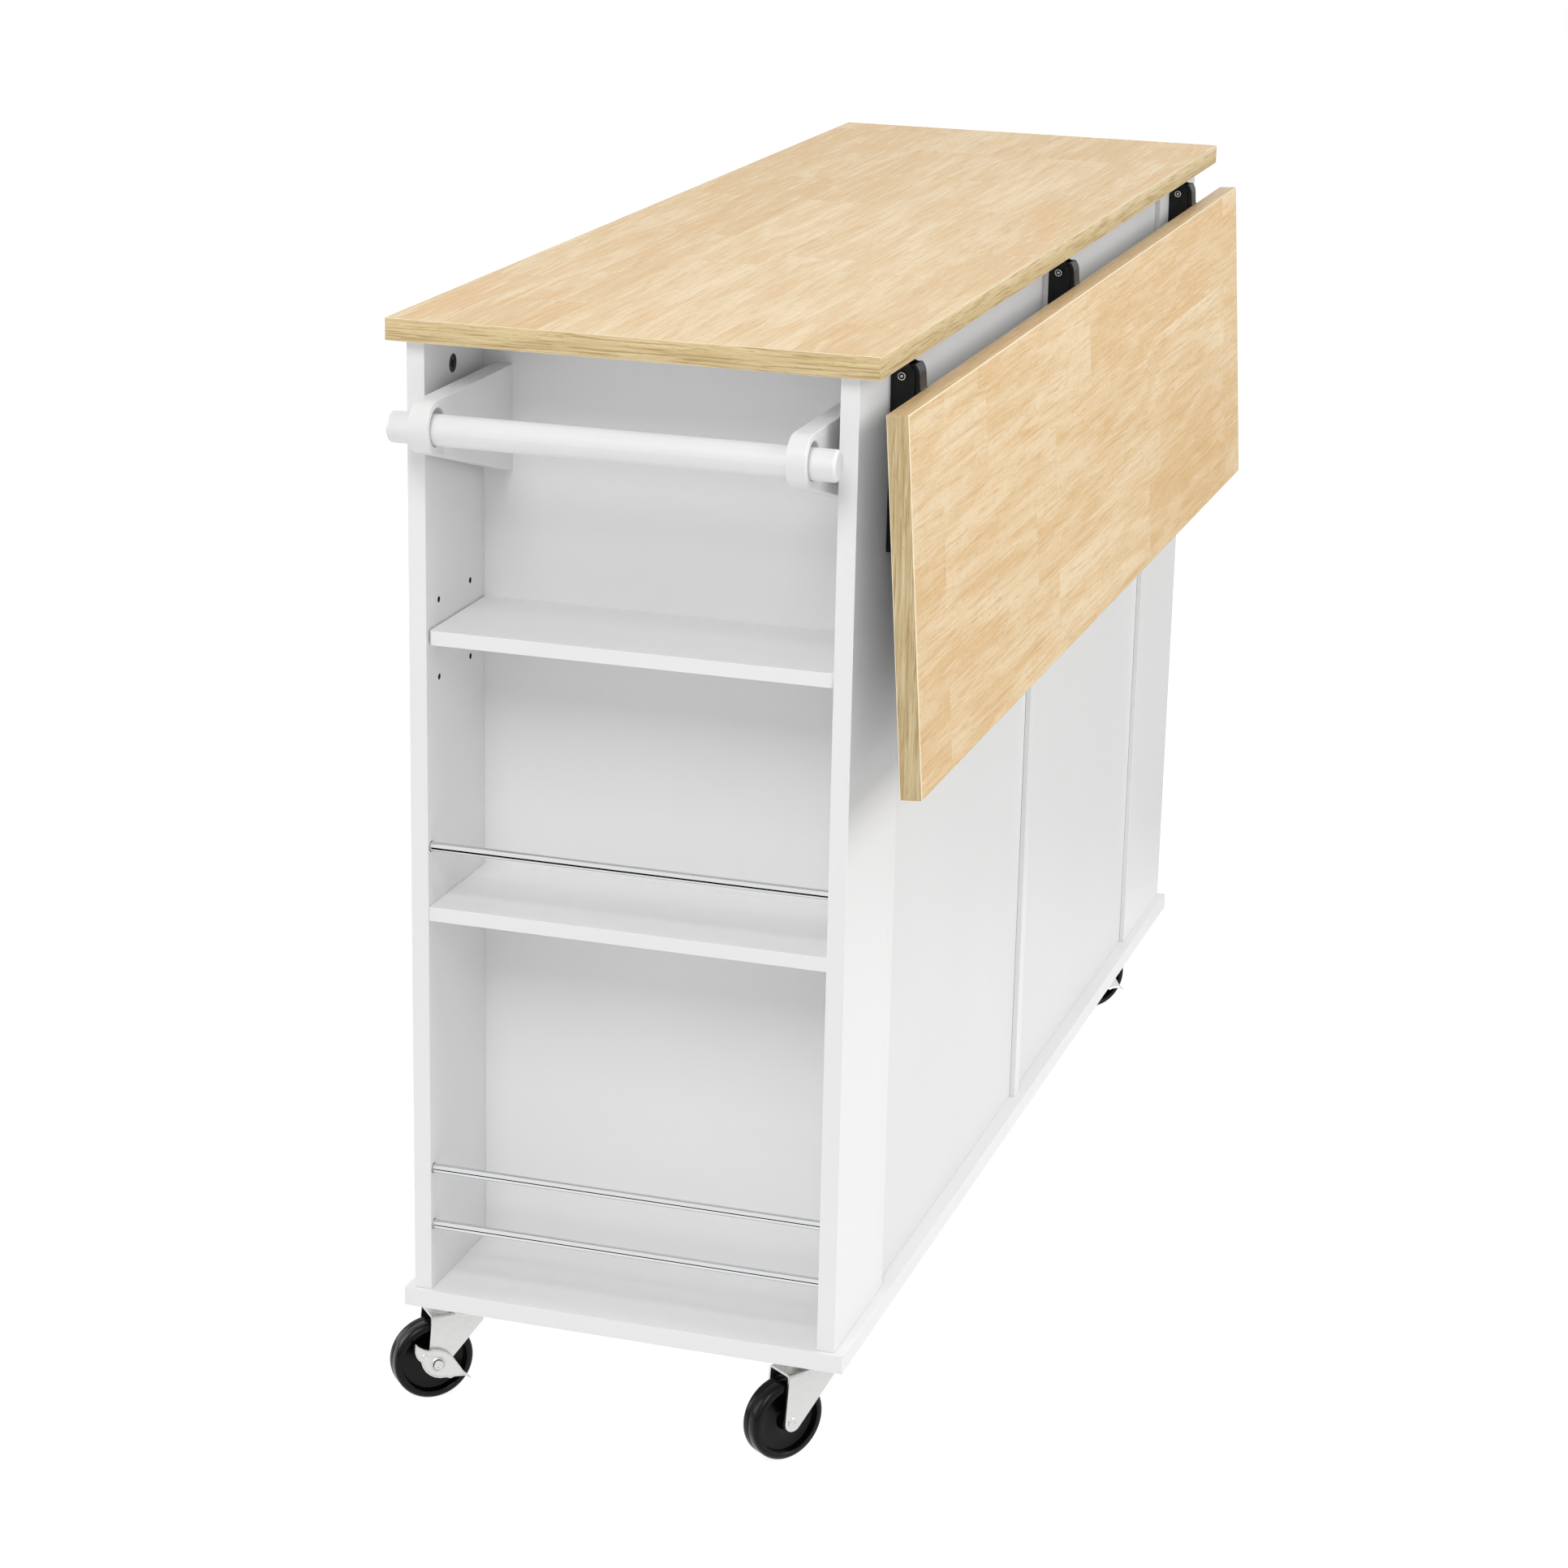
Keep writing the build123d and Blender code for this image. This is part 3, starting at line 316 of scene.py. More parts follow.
quarter = math.radians(90)
banding_along_x = oak_banding("banding along X, printed ABS", (0, 0, 0))
banding_along_y = oak_banding("banding along Y, printed ABS", (0, 0, -quarter))
banding_down = oak_banding("banding down the leaf, printed ABS", (0, quarter, 0), "D2C198", "BBA171")
banding_leaf = oak_banding("banding along the leaf, printed ABS", (0, 0, 0), "DBBD8F", "C29F6D", 0.45)
# The rounded strip edges get a pale cream that paints the highlight along each edge, over the paler plastic
# a trimmer bares.
banding_trim_painted_highlight, tree, place = new_material("trimmed ABS of the banding, pale as a painted highlight")
cream = add(tree, "ShaderNodeMix",
            {0: grain(tree, place, 6, 6, 2), 6: srgb("FAEED8"), 7: srgb("EBD6AC")}, data_type="RGBA")
close_material(tree, add(tree, "ShaderNodeBsdfPrincipled",
                         {"Base Color": cream.outputs[2], "Roughness": 0.35, "IOR": 1.53}))
print("four bandings and their core")

# %% [markdown]
# White parts differ in how they were made. The boards are melamine-faced, with a fine pearl texture
# and a satin sheen. The back panels are thin hardboard with a painted face, a touch softer. The towel
# rail is lacquered wood, smooth and glossier. One flat white would do from far off, but close by a white
# part looks real by its small relief, so each gets one at its own scale, and a faint change of tone.

# %% White finishes
cloud_size = 140


def white_finish(name, code, roughness, size, relief, ior):
    """An off-white surface with a fine relief of so many millimetres and a faint change of tone."""
    material, tree, place = new_material(name)
    fine = grain(tree, place, size, size, 2)
    cloud = grain(tree, place, cloud_size, cloud_size, 1)
    shade = add(tree, "ShaderNodeMapRange",
                {"Value": cloud, "From Min": 0.3, "From Max": 0.7, "To Min": 0.985})
    tone = add(tree, "ShaderNodeVectorMath", {0: srgb(code)[:3], "Scale": shade.outputs[0]},
               operation="SCALE")
    bump = add(tree, "ShaderNodeBump", {"Height": fine, "Strength": relief, "Distance": 0.3 * mm})
    sheen = add(tree, "ShaderNodeMapRange",
                {"Value": fine, "To Min": roughness - 0.05, "To Max": roughness + 0.05})
    shader = add(tree, "ShaderNodeBsdfPrincipled",
                 {"Base Color": tone.outputs[0], "Roughness": sheen.outputs[0],
                  "Normal": bump.outputs[0], "IOR": ior})
    close_material(tree, shader)
    return material


white_melamine = white_finish("white melamine on particle board, pearl texture", "EEEEEE",
                              0.42, 1.4, 0.04, 1.52)
white_hardboard = white_finish("painted hardboard", "E7E7E7", 0.5, 2.2, 0.06, 1.5)
white_lacquer = white_finish("white lacquered wood", "E7E7E7", 0.3, 3, 0.05, 1.5)
print("made", [finish.name for finish in (white_melamine, white_hardboard, white_lacquer)])

# %% [markdown]
# A metal has no colour of its own under its shine, so it is told apart by how rough it is and how that
# wanders. Zinc plating on pressed steel is pale with a faint cloudy grain, and chrome is nearly a mirror.
# The cam locks are die cast zinc, dark and dull, and the knobs are brushed satin nickel, whose scratches
# are long and thin.

# %% Metals
def metal(name, code, low_rough, high_rough, size, relief):
    """Bare or plated metal whose roughness wanders over grains of so many millimetres each way."""
    material, tree, place = new_material(name)
    cloud = grain(tree, place, *size, 3)
    rough = add(tree, "ShaderNodeMapRange",
                {"Value": cloud, "From Min": 0.3, "From Max": 0.7,
                 "To Min": low_rough, "To Max": high_rough})
    bump = add(tree, "ShaderNodeBump", {"Height": cloud, "Strength": relief, "Distance": 0.2 * mm})
    shader = add(tree, "ShaderNodeBsdfPrincipled",
                 {"Base Color": srgb(code), "Metallic": 1.0, "Roughness": rough.outputs[0],
                  "Normal": bump.outputs[0]})
    close_material(tree, shader)
    return material


chrome_steel = metal("chrome plated steel", "DFE0E2", 0.03, 0.07, (20, 20), 0.02)
zinc_steel = metal("bright zinc plated steel", "D8D8D6", 0.25, 0.36, (4, 4), 0.03)
satin_nickel = metal("brushed satin nickel", "BDB9B1", 0.24, 0.34, (12, 0.5), 0.1)
cam_zinc = metal("die cast zinc", "4A4B4D", 0.35, 0.5, (1.5, 1.5), 0.2)
print("made", [finish.name for finish in (chrome_steel, zinc_steel, satin_nickel, cam_zinc)])

# %% [markdown]
# Two finishes are black and not metal to the eye. The brackets are steel under a powder coat, which
# dries with a fine orange peel. The wheels are moulded polypropylene, smoother and with a soft shine.
# A plain black would lose every edge, so the relief and the low shine leave some light on both.

# %% Black finishes
def moulded(name, code, roughness, size, relief, ior, specular):
    """Coated or moulded plastic surface with an orange peel of so many millimetres."""
    material, tree, place = new_material(name)
    peel = grain(tree, place, size, size, 1)
    bump = add(tree, "ShaderNodeBump", {"Height": peel, "Strength": relief, "Distance": 0.3 * mm})
    sheen = add(tree, "ShaderNodeMapRange",
                {"Value": peel, "To Min": roughness - 0.06, "To Max": roughness + 0.06})
    shader = add(tree, "ShaderNodeBsdfPrincipled",
                 {"Base Color": srgb(code), "Roughness": sheen.outputs[0],
                  "Normal": bump.outputs[0], "IOR": ior, "Specular IOR Level": specular})
    close_material(tree, shader)
    return material


black_steel = moulded("black powder coated steel", "070708", 0.4, 1.3, 0.2, 1.5, 0.35)
black_polypropylene = moulded("black moulded polypropylene", "060607", 0.25, 2.5, 0.05, 1.49, 0.2)
print(len(bpy.data.materials), "materials so far")

# %% [markdown]
# Every CAD part takes the finish that the record names for it. Each could be given by hand, but the
# record already knows, and a part that is added later then gets its finish by itself.

# %% Finish the CAD parts
finishes = {
    "oak_laminate": worktop_oak_painted_darker,
    "white_melamine": white_melamine,
    "white_hardboard": white_hardboard,
    "white_lacquer": white_lacquer,
    "chrome_steel": chrome_steel,
    "zinc_steel": zinc_steel,
    "black_steel": black_steel,
    "black_polypropylene": black_polypropylene,
    "cam_zinc": cam_zinc,
    "satin_nickel": satin_nickel,
}
slot_of = {row["node"]: row["material_slot"] for row in frame["record"]["subparts"]}
for name, part in nodes.items():
    part.data.materials.clear()
    part.data.materials.append(finishes[slot_of[name]])
print("finished", len(slot_of), "CAD parts")

# %% [markdown]
# The boards were cut with a saw and banded, so their edges are eased by half a millimetre. The mesh of
# a CAD part isn't changed, so modifiers do this. A Weld modifier joins its loose triangles, and a Bevel
# modifier then rounds the sharp edges and leaves the flat joints alone.

# %% Ease the edges of the boards
eased = 0.5
same_place = 0.01


def ease(part, width):
    """Round the sharp edges of a CAD part by so many millimetres, without touching its mesh."""
    weld = part.modifiers.new("weld", "WELD")
    weld.merge_threshold = same_place * mm
    bevel = part.modifiers.new("ease", "BEVEL")
    bevel.width = width * mm
    bevel.segments = 2
    bevel.limit_method = "ANGLE"
    bevel.angle_limit = math.radians(40)
    bevel.use_clamp_overlap = False
    bevel.harden_normals = True


drilled = ("near_front_board", "near_back_board", "near_divider", "mid_divider", "far_divider",
           "far_front_board", "far_back_board")
plain = [name for name in nodes
         if slot_of[name] in ("white_melamine", "white_hardboard") and name not in drilled]
for name in plain:
    ease(nodes[name], eased)
print("eased", len(plain), "boards")

# %% [markdown]
# New pieces are modelled as by hand. A box, circle or outline is added, shaped in edit mode with
# extrude, bevel and inset, and then moved into place with its mesh, so that its object stays at the
# origin. Edit mode acts on all that is selected, so the selection is cleared each time, and edges and
# faces are picked in code by where they are. Sizes in these helpers are in millimetres.

# %% Helpers for modelling
def select_only(piece):
    """Leave edit mode and make one piece the only selected one."""
    if bpy.context.object and bpy.context.object.mode != "OBJECT":
        bpy.ops.object.mode_set(mode="OBJECT")
    bpy.ops.object.select_all(action="DESELECT")
    if piece:
        bpy.context.view_layer.objects.active = piece
        piece.select_set(True)


def settle(piece, name, matrix=None):
    """Name a piece and move its place into its mesh."""
    select_only(piece)
    piece.name = name
    if matrix:
        piece.matrix_world = matrix @ piece.matrix_world
    bpy.ops.object.transform_apply(location=True, rotation=True, scale=True)
    return piece


def edit(piece, kind="FACE", test=None):
    """Open a piece in edit mode with the faces, edges or corners selected that pass a test."""
    select_only(piece)
    bpy.ops.object.mode_set(mode="EDIT")
    bpy.ops.mesh.select_mode(type=kind)
    bpy.ops.mesh.select_all(action="DESELECT")
    mesh = bmesh.from_edit_mesh(piece.data)
    for part in {"VERT": mesh.verts, "EDGE": mesh.edges, "FACE": mesh.faces}[kind]:
        if test is None or test(part):
            part.select_set(True)
    bmesh.update_edit_mesh(piece.data)


def close_edit(piece):
    """Turn all faces outwards and leave edit mode."""
    bpy.ops.mesh.select_all(action="SELECT")
    bpy.ops.mesh.normals_make_consistent(inside=False)
    bpy.ops.object.mode_set(mode="OBJECT")
    return piece


def middle_of(part):
    """The middle of an edge or face, in millimetres."""
    spots = [corner.co for corner in part.verts]
    return sum(spots, Vector()) / len(spots) / mm


def near(value, *levels):
    """Whether a size in millimetres is at one of some levels."""
    return any(abs(value - level) < same_place for level in levels)


print("helpers ready")

# %% [markdown]
# Three starts are enough for this object. A block is a scaled cube. A plate is a filled circle whose
# corners go to the places of an outline, pulled up once. A turned shape is a circle that is pulled up
# and resized ring by ring, which keeps each ring a clean loop. The Spin tool could turn a section too,
# but would leave a seam to close.

# %% Helpers for blocks, plates and turned shapes
ring_gap = 0.002


def block(name, low, high):
    """Add a box between two corners."""
    select_only(None)
    low, high = Vector(low) * mm, Vector(high) * mm
    bpy.ops.mesh.primitive_cube_add(size=1, location=(low + high) / 2)
    bpy.context.object.scale = high - low
    return settle(bpy.context.object, name)


def plate(name, points, bottom, top):
    """Add a flat plate with an outline of x and y places, between two heights."""
    select_only(None)
    bpy.ops.mesh.primitive_circle_add(vertices=len(points), fill_type="NGON")
    made = bpy.context.object
    for corner, (x, y) in zip(made.data.vertices, points):
        corner.co = (x * mm, y * mm, bottom * mm)
    edit(made)
    bpy.ops.mesh.extrude_region_move(TRANSFORM_OT_translate={"value": (0, 0, (top - bottom) * mm)})
    return settle(close_edit(made), name)


def turned(name, rings, sides=48, bored=False):
    """Turn a shape about Z from rings of a radius and a height. A bored one ends where it began."""
    select_only(None)
    radius, height = rings[0]
    bpy.ops.mesh.primitive_circle_add(vertices=sides, radius=radius * mm,
                                      fill_type="NOTHING" if bored else "NGON")
    made = bpy.context.object
    made.location.z = height * mm
    settle(made, name)
    edit(made, "EDGE" if bored else "FACE")
    for (radius, height), (next_radius, next_height) in zip(rings, rings[1:]):
        rise = {"value": (0, 0, (next_height - height) * mm)}
        if bored:
            bpy.ops.mesh.extrude_edges_move(TRANSFORM_OT_translate=rise)
        else:
            bpy.ops.mesh.extrude_region_move(TRANSFORM_OT_translate=rise)
        ratio = next_radius / radius
        bpy.ops.transform.resize(value=(ratio, ratio, 1), center_override=(0, 0, next_height * mm))
    bpy.ops.mesh.select_all(action="SELECT")
    bpy.ops.mesh.remove_doubles(threshold=ring_gap * mm)
    return close_edit(made)


def arc(start, through, end, steps=6):
    """Places along the arc through three points, without the last one."""
    (ax, ay), (bx, by), (cx, cy) = start, through, end
    double_area = 2 * (ax * (by - cy) + bx * (cy - ay) + cx * (ay - by))
    a, b, c = ax * ax + ay * ay, bx * bx + by * by, cx * cx + cy * cy
    x = (a * (by - cy) + b * (cy - ay) + c * (ay - by)) / double_area
    y = (a * (cx - bx) + b * (ax - cx) + c * (bx - ax)) / double_area
    first, last = math.atan2(ay - y, ax - x), math.atan2(cy - y, cx - x)
    turn = (last - first) % math.tau
    if (math.atan2(by - y, bx - x) - first) % math.tau > turn:
        turn -= math.tau
    radius = math.hypot(ax - x, ay - y)
    angles = [first + turn * i / steps for i in range(steps)]
    return [(x + radius * math.cos(angle), y + radius * math.sin(angle)) for angle in angles]


print("shapes ready")

# %% [markdown]
# A hole could be bridged face by face in edit mode, but a Boolean modifier cuts any shape with any
# other, so it makes the recesses, bends and bores here. What repeats is modelled once and copied, and
# each copy gets a mesh of its own, so that it can be joined or moved alone.

# %% Helpers for cuts, rounding, copies and finishing
def combine(piece, tool, operation="DIFFERENCE"):
    """Cut a piece with another, or fuse it, by a Boolean modifier that is applied."""
    select_only(piece)
    step = piece.modifiers.new("boolean", "BOOLEAN")
    step.operation = operation
    step.solver = "EXACT"
    step.object = tool
    bpy.ops.object.modifier_apply(modifier=step.name)
    bpy.data.objects.remove(tool)
    return piece


def round_edges(piece, width, segments, test, material=-1):
    """Bevel the edges of a piece that pass a test, and give the new faces a material of its list."""
    edit(piece, "EDGE", test)
    bpy.ops.mesh.bevel(offset=width * mm, segments=segments, affect="EDGES", clamp_overlap=False,
                       material=material)
    return close_edit(piece)


def soften(piece, width):
    """Round every sharp edge a little with a Bevel modifier that is applied."""
    select_only(piece)
    step = piece.modifiers.new("soften", "BEVEL")
    step.width = width * mm
    step.segments = 2
    step.limit_method = "ANGLE"
    step.angle_limit = math.radians(35)
    bpy.ops.object.modifier_apply(modifier=step.name)
    return piece


def copy_to(piece, name, matrix):
    """Copy a piece with its own mesh and move it."""
    made = piece.copy()
    made.data = piece.data.copy()
    bpy.context.collection.objects.link(made)
    return settle(made, name, matrix)


def join(pieces, name):
    """Make one piece of several."""
    select_only(pieces[0])
    for piece in pieces[1:]:
        piece.select_set(True)
    bpy.ops.object.join()
    return settle(pieces[0], name)


def put_away(*pieces):
    """Remove the models that copies were made from."""
    for piece in pieces:
        bpy.data.objects.remove(piece)


def dress(piece, body, slot, *replaced, finish=None):
    """Give a piece its finish, smooth shading and its body, and say which CAD parts it replaces."""
    if finish:
        piece.data.materials.clear()
        piece.data.materials.append(finish)
    select_only(piece)
    bpy.ops.object.shade_smooth_by_angle(angle=math.radians(35))
    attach(piece, body)
    if replaced:
        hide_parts(*replaced)
    return piece


print("finishing helpers ready")

# %% [markdown]
# The upright boards have rows of drilled holes. Inside a hole the particle board is raw, and it is painted
# near black there, as the painted shade in the hole. These boards are modelled again from a copy of the
# CAD mesh. Its triangles are merged into plain faces, the faces inside the holes get this dark material,
# and only the outer edges are rounded. A Weighted Normal modifier then keeps the shading of the large
# faces flat. Holes could be cut into a new box instead, but the copy already has each of them in its place.

# %% Drilled boards
# The raw board in the holes is painted a near-black brown, which paints the shade in them.
raw_board_painted_shade, tree, place = new_material("raw particle board")
brown = add(tree, "ShaderNodeMix",
            {0: grain(tree, place, 2, 2, 3), 6: srgb("33281E"), 7: srgb("15100C")}, data_type="RGBA")
close_material(tree, add(tree, "ShaderNodeBsdfPrincipled",
                         {"Base Color": brown.outputs[2], "Roughness": 0.9}))


def sides_touched(part, low, high):
    """How many faces of a box the middle of an edge or face lies on."""
    spot = middle_of(part)
    return sum(near(spot[i], low[i], high[i]) for i in range(3))


def drilled_board(name):
    """Model a CAD board again, with eased outer edges and holes painted near black as shade."""
    low, high = (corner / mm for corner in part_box(name))
    board = bpy.data.objects.new(f"{name}_drilled", nodes[name].data.copy())
    bpy.context.collection.objects.link(board)
    board.data.materials.append(raw_board_painted_shade)
    edit(board)
    bpy.ops.mesh.remove_doubles(threshold=same_place * mm)
    bpy.ops.mesh.dissolve_limited(angle_limit=math.radians(0.5))
    # Faces off the board's outer box lie inside holes and take the painted shade.
    edit(board, "FACE", lambda face: not sides_touched(face, low, high))
    board.active_material_index = 1
    bpy.ops.object.material_slot_assign()
    round_edges(board, eased, 2, lambda edge: sides_touched(edge, low, high) > 1)
    dress(board, "cabinet", "white_melamine", name)
    step = board.modifiers.new("flat faces", "WEIGHTED_NORMAL")
    step.keep_sharp = True
    bpy.ops.object.modifier_apply(modifier=step.name)
    return board


for name in drilled:
    board = drilled_board(name)
    holed = sum(face.material_index for face in board.data.polygons)
    print(name, "has", len(board.data.polygons), "faces,", holed, "of them in holes")

# %% [markdown]
# The worktop is a laminated board with a strip of banding round it. One box with painted edges would
# be simpler, but board and strips are separate boxes, as on the real one, so the seams at the corners
# and along the faces are real edges. The outer edges of the strips are rounded where a trimmer took the
# print off, and the rounding is painted pale cream as a thin painted highlight. The underside has a plain
# white backing, which keeps such a board flat.

# %% Banded boards
band = 1.0
top_thickness = 18


def banded_board(name, length, width, placing, face_finish, side_finish, end_finish, arris):
    """Make a board along X from the origin, with banding on its four edges."""
    core = block(name, (band, band, 0), (length - band, width - band, top_thickness))
    core.data.materials.append(face_finish)
    core.data.materials.append(white_melamine)
    for face in core.data.polygons:
        face.material_index = int(face.center.z < mm)
    parts = [core]
    spots = (
        ((0, 0), (length, band), side_finish),
        ((0, width - band), (length, width), side_finish),
        ((0, band), (band, width - band), end_finish),
        ((length - band, band), (length, width - band), end_finish),
    )

    def outer(edge):
        spot = middle_of(edge)
        on_rim = near(spot.y, 0, width) or near(spot.x, 0, length)
        return on_rim and near(spot.z, 0, top_thickness)

    for low, high, finish in spots:
        strip = block("strip", (*low, 0), (*high, top_thickness))
        strip.data.materials.append(finish)
        strip.data.materials.append(banding_trim_painted_highlight)
        # The rounded edges take the pale cream of the second material, a painted highlight.
        round_edges(strip, arris, 3, outer, material=1)
        parts.append(strip)
    return settle(join(parts, name), name, placing)


top_low, top_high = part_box("worktop")
top_size = (top_high - top_low) / mm
placing = Matrix.Translation(top_low)
worktop = banded_board("worktop_board", top_size.x, top_size.y, placing, worktop_oak_painted_darker,
                       banding_along_x, banding_along_y, arris=0.4)
dress(worktop, "cabinet", "oak_laminate", "worktop")
print("worktop", [round(size, 1) for size in top_size], "mm")

# %% [markdown]
# The leaf is the same board. It hangs from a pivot under the worktop's back edge, a few degrees off
# plumb. It could be drawn where it hangs, but a board that lies flat is easier to measure, so the flat
# one is turned until its width runs down along the leaf. Its trimmed edges are wider than the worktop's.

# %% Drop leaf
leaf_low, leaf_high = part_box("drop_leaf")
leaf_width = 300
leaf_start = 12
pivot_drop = 14
pivot = Vector((0, 177.2 * mm, 900 * mm))
tilt = math.radians(leaf_tilt)
down = Vector((0, math.sin(tilt), -math.cos(tilt)))
out = Vector((0, math.cos(tilt), math.sin(tilt)))
leaf_frame = Matrix((Vector((1, 0, 0)), down, out)).transposed().to_4x4()
corner = Vector((leaf_low.x, 0, 0)) + pivot + down * leaf_start * mm + out * pivot_drop * mm
placing = Matrix.Translation(corner) @ leaf_frame
leaf = banded_board("drop_leaf_board", (leaf_high.x - leaf_low.x) / mm, leaf_width, placing,
                    leaf_oak_painted_lighter, banding_leaf, banding_down, arris=0.8)
dress(leaf, "leaf", "oak_laminate", "drop_leaf")
print("leaf", round((leaf_high.x - leaf_low.x) / mm, 1), "mm long and", leaf_width, "mm wide")

# %% [markdown]
# A caster has a plate screwed under the base board, a pressed fork that swivels under it, a wheel and
# an axle rivet. Two have a foot lever. Each caster is drawn once about its own swivel axis, with X along
# its trail, Y across it and Z up from the floor, and copied to its place and heading. The headings
# differ, as those of casters do once the island has been pushed about.

# %% Where the casters stand
headings = {"near_front": 42, "near_back": 54, "far_front": 45, "far_back": 48}
braked = ("near_front", "far_back")
trail = 34
axle_z = 35
half_plate = 25
plates_low, plates_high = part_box("caster_plates")
caster_frames = {}
for name, heading in headings.items():
    inset = half_plate * mm
    x = plates_high.x - inset if name.startswith("near") else plates_low.x + inset
    y = plates_low.y + inset if name.endswith("front") else plates_high.y - inset
    turn = Matrix.Rotation(math.radians(heading - 90), 4, "Z")
    caster_frames[name] = Matrix.Translation((x, y, 0)) @ turn
    print(name, "swivels about", round(x / mm, 1), round(y / mm, 1))
to_axle = Matrix.Translation((trail * mm, 0, axle_z * mm))
axle_frame = to_axle @ Matrix.Rotation(-quarter, 4, "X")

# %% [markdown]
# The fork is pressed from one 2 mm sheet: a crown and two legs that taper to a rounded ear. A sheet
# could be thickened with Solidify, but the fork is nearly a solid with a slot. So it starts as its side
# outline pulled across the full width. The two top edges get the bend of the sheet, the inside is cut
# away with a box that has a smaller bend, and the round crown is fused on.

# %% Outline of the fork
leg_outer = 14
leg_inner = 12
crown_top = 78.5
fork_steel = 2
ear = (33.5, 35)
ear_radius = 8
ear_steps = 18
lead_top = (38, crown_top)
back_top = (-8, crown_top)
waist = (-8, 68)


def tangent_angle(spot, side):
    """Where a line from a spot touches the ear's circle, as an angle."""
    x, z = spot[0] - ear[0], spot[1] - ear[1]
    return math.atan2(z, x) + side * math.acos(ear_radius / math.hypot(x, z))


first, last = tangent_angle(waist, 1), tangent_angle(lead_top, -1) + math.tau
outline = [lead_top, back_top, waist]
for i in range(ear_steps + 1):
    angle = first + (last - first) * i / ear_steps
    outline.append((ear[0] + ear_radius * math.cos(angle), ear[1] + ear_radius * math.sin(angle)))
print("outline of", len(outline), "corners")

# %% Fork
outer_bend, inner_bend = 3, 1.4
past_fork = (-30, 60)
crown_radius = 22


def top_sides(half_width, top):
    """A test for the two upper edges along X of a shape that is so wide and so high."""
    def passes(edge):
        spot = middle_of(edge)
        return near(abs(spot.y), half_width) and near(spot.z, top)
    return passes


fork = settle(plate("fork", outline, -leg_outer, leg_outer), "fork", Matrix.Rotation(quarter, 4, "X"))
round_edges(fork, outer_bend, 4, top_sides(leg_outer, crown_top))
ceiling = crown_top - fork_steel
inside = block("inside", (past_fork[0], -leg_inner, 0), (past_fork[1], leg_inner, ceiling))
round_edges(inside, inner_bend, 3, top_sides(leg_inner, ceiling))
combine(fork, inside)
combine(fork, turned("crown", [(crown_radius, ceiling), (crown_radius, crown_top)], 64), "UNION")
soften(fork, 0.3)
print("fork has", len(fork.data.polygons), "faces")

# %% [markdown]
# On top of the crown sits the lower race, a rounded ring that holds the balls. The axle is a rivet
# through both ears, with a dished head on each side. It reaches further where a lever sits on it.
# They are turned shapes, because a lathe or a punch made the real ones round. The section of each is
# drawn from the bottom up, and all of a caster's fork is joined to one piece.

# %% Fork races and axles
axle_radius = 3
lever_room = 4.6
race = turned("race", [(16.5, 78.4), (18.6, 78.9), (19, 80), (19, 82.6), (18.2, 84.2), (16, 85)], 64)
axle_head = [(4.2, 0), (4.2, 0.7), (3.7, 1.1), (2.3, 1.2), (1.9, 1.0), (1.7, 0.3)]
for name, matrix in caster_frames.items():
    reach = leg_outer + (lever_room if name in braked else 0)
    axle = turned("axle", [(axle_radius, -leg_outer), (axle_radius, reach)], 32)
    near_head = turned("head", axle_head, 32)
    near_head.location.z = reach * mm
    far_head = turned("head", axle_head, 32)
    far_head.rotation_euler.x = math.pi
    far_head.location.z = -leg_outer * mm
    pins = [settle(part, "pin", axle_frame) for part in (axle, near_head, far_head)]
    copies = [copy_to(fork, "fork_copy", Matrix()), copy_to(race, "race_copy", Matrix())]
    whole = settle(join([*copies, *pins], f"{name}_fork_steel"), f"{name}_fork_steel", matrix)
    dress(whole, f"{name}_caster", "zinc_steel", f"{name}_fork", finish=zinc_steel)
put_away(fork, race)
print("forks", list(caster_frames))

# %% [markdown]
# The wheel is moulded in one piece. Its tread is nearly flat and runs into the sides with a wide
# rounding, the side is dished between the rim and the hub, and the hub stands out almost to the fork.
# The two halves of the mould leave a fine groove round the middle of the tread. A cylinder could be inset
# and pushed about, but a wheel is a turned shape, so it is drawn as rings that go round its section.

# %% Wheel
tread_radius = 35
half_width = 10
rounding = 4.2
round_steps = 6
groove_half, groove_depth = 0.25, 0.12
side = [(3.1, 11.7), (7.5, 11.7), (8, 11.3), (8.6, 6), (9.4, 3.9), (11, 3), (25.6, 3), (27.2, 3.7),
        (28, 5.2), (28.4, 9.5), (28.9, 10)]
for i in range(round_steps + 1):
    angle = quarter * (1 - i / round_steps)
    side.append((tread_radius - rounding * (1 - math.cos(angle)),
                 half_width - rounding * (1 - math.sin(angle))))
side.append((tread_radius, groove_half))
side.append((tread_radius - groove_depth, 0))
rings = side + [(radius, -height) for radius, height in reversed(side[:-1])] + [side[0]]
wheel = turned("wheel", rings, 96, bored=True)
for name, matrix in caster_frames.items():
    dress(copy_to(wheel, f"{name}_wheel_moulding", matrix @ axle_frame), f"{name}_wheel_body",
          "black_polypropylene", f"{name}_wheel", finish=black_polypropylene)
put_away(wheel)
print("wheels", 2 * tread_radius, "mm across")

# %% [markdown]
# The foot lever is pressed from thin sheet. Its outline is a bowed blade with a tip at the front and a
# long tail. The edge is turned in along its top, a low rim runs round its face, and a raised ring stands
# round the axle, with a small one near the tip. The rim could be sculpted, but three insets in a row
# draw it evenly: one up, one flat and one down again.

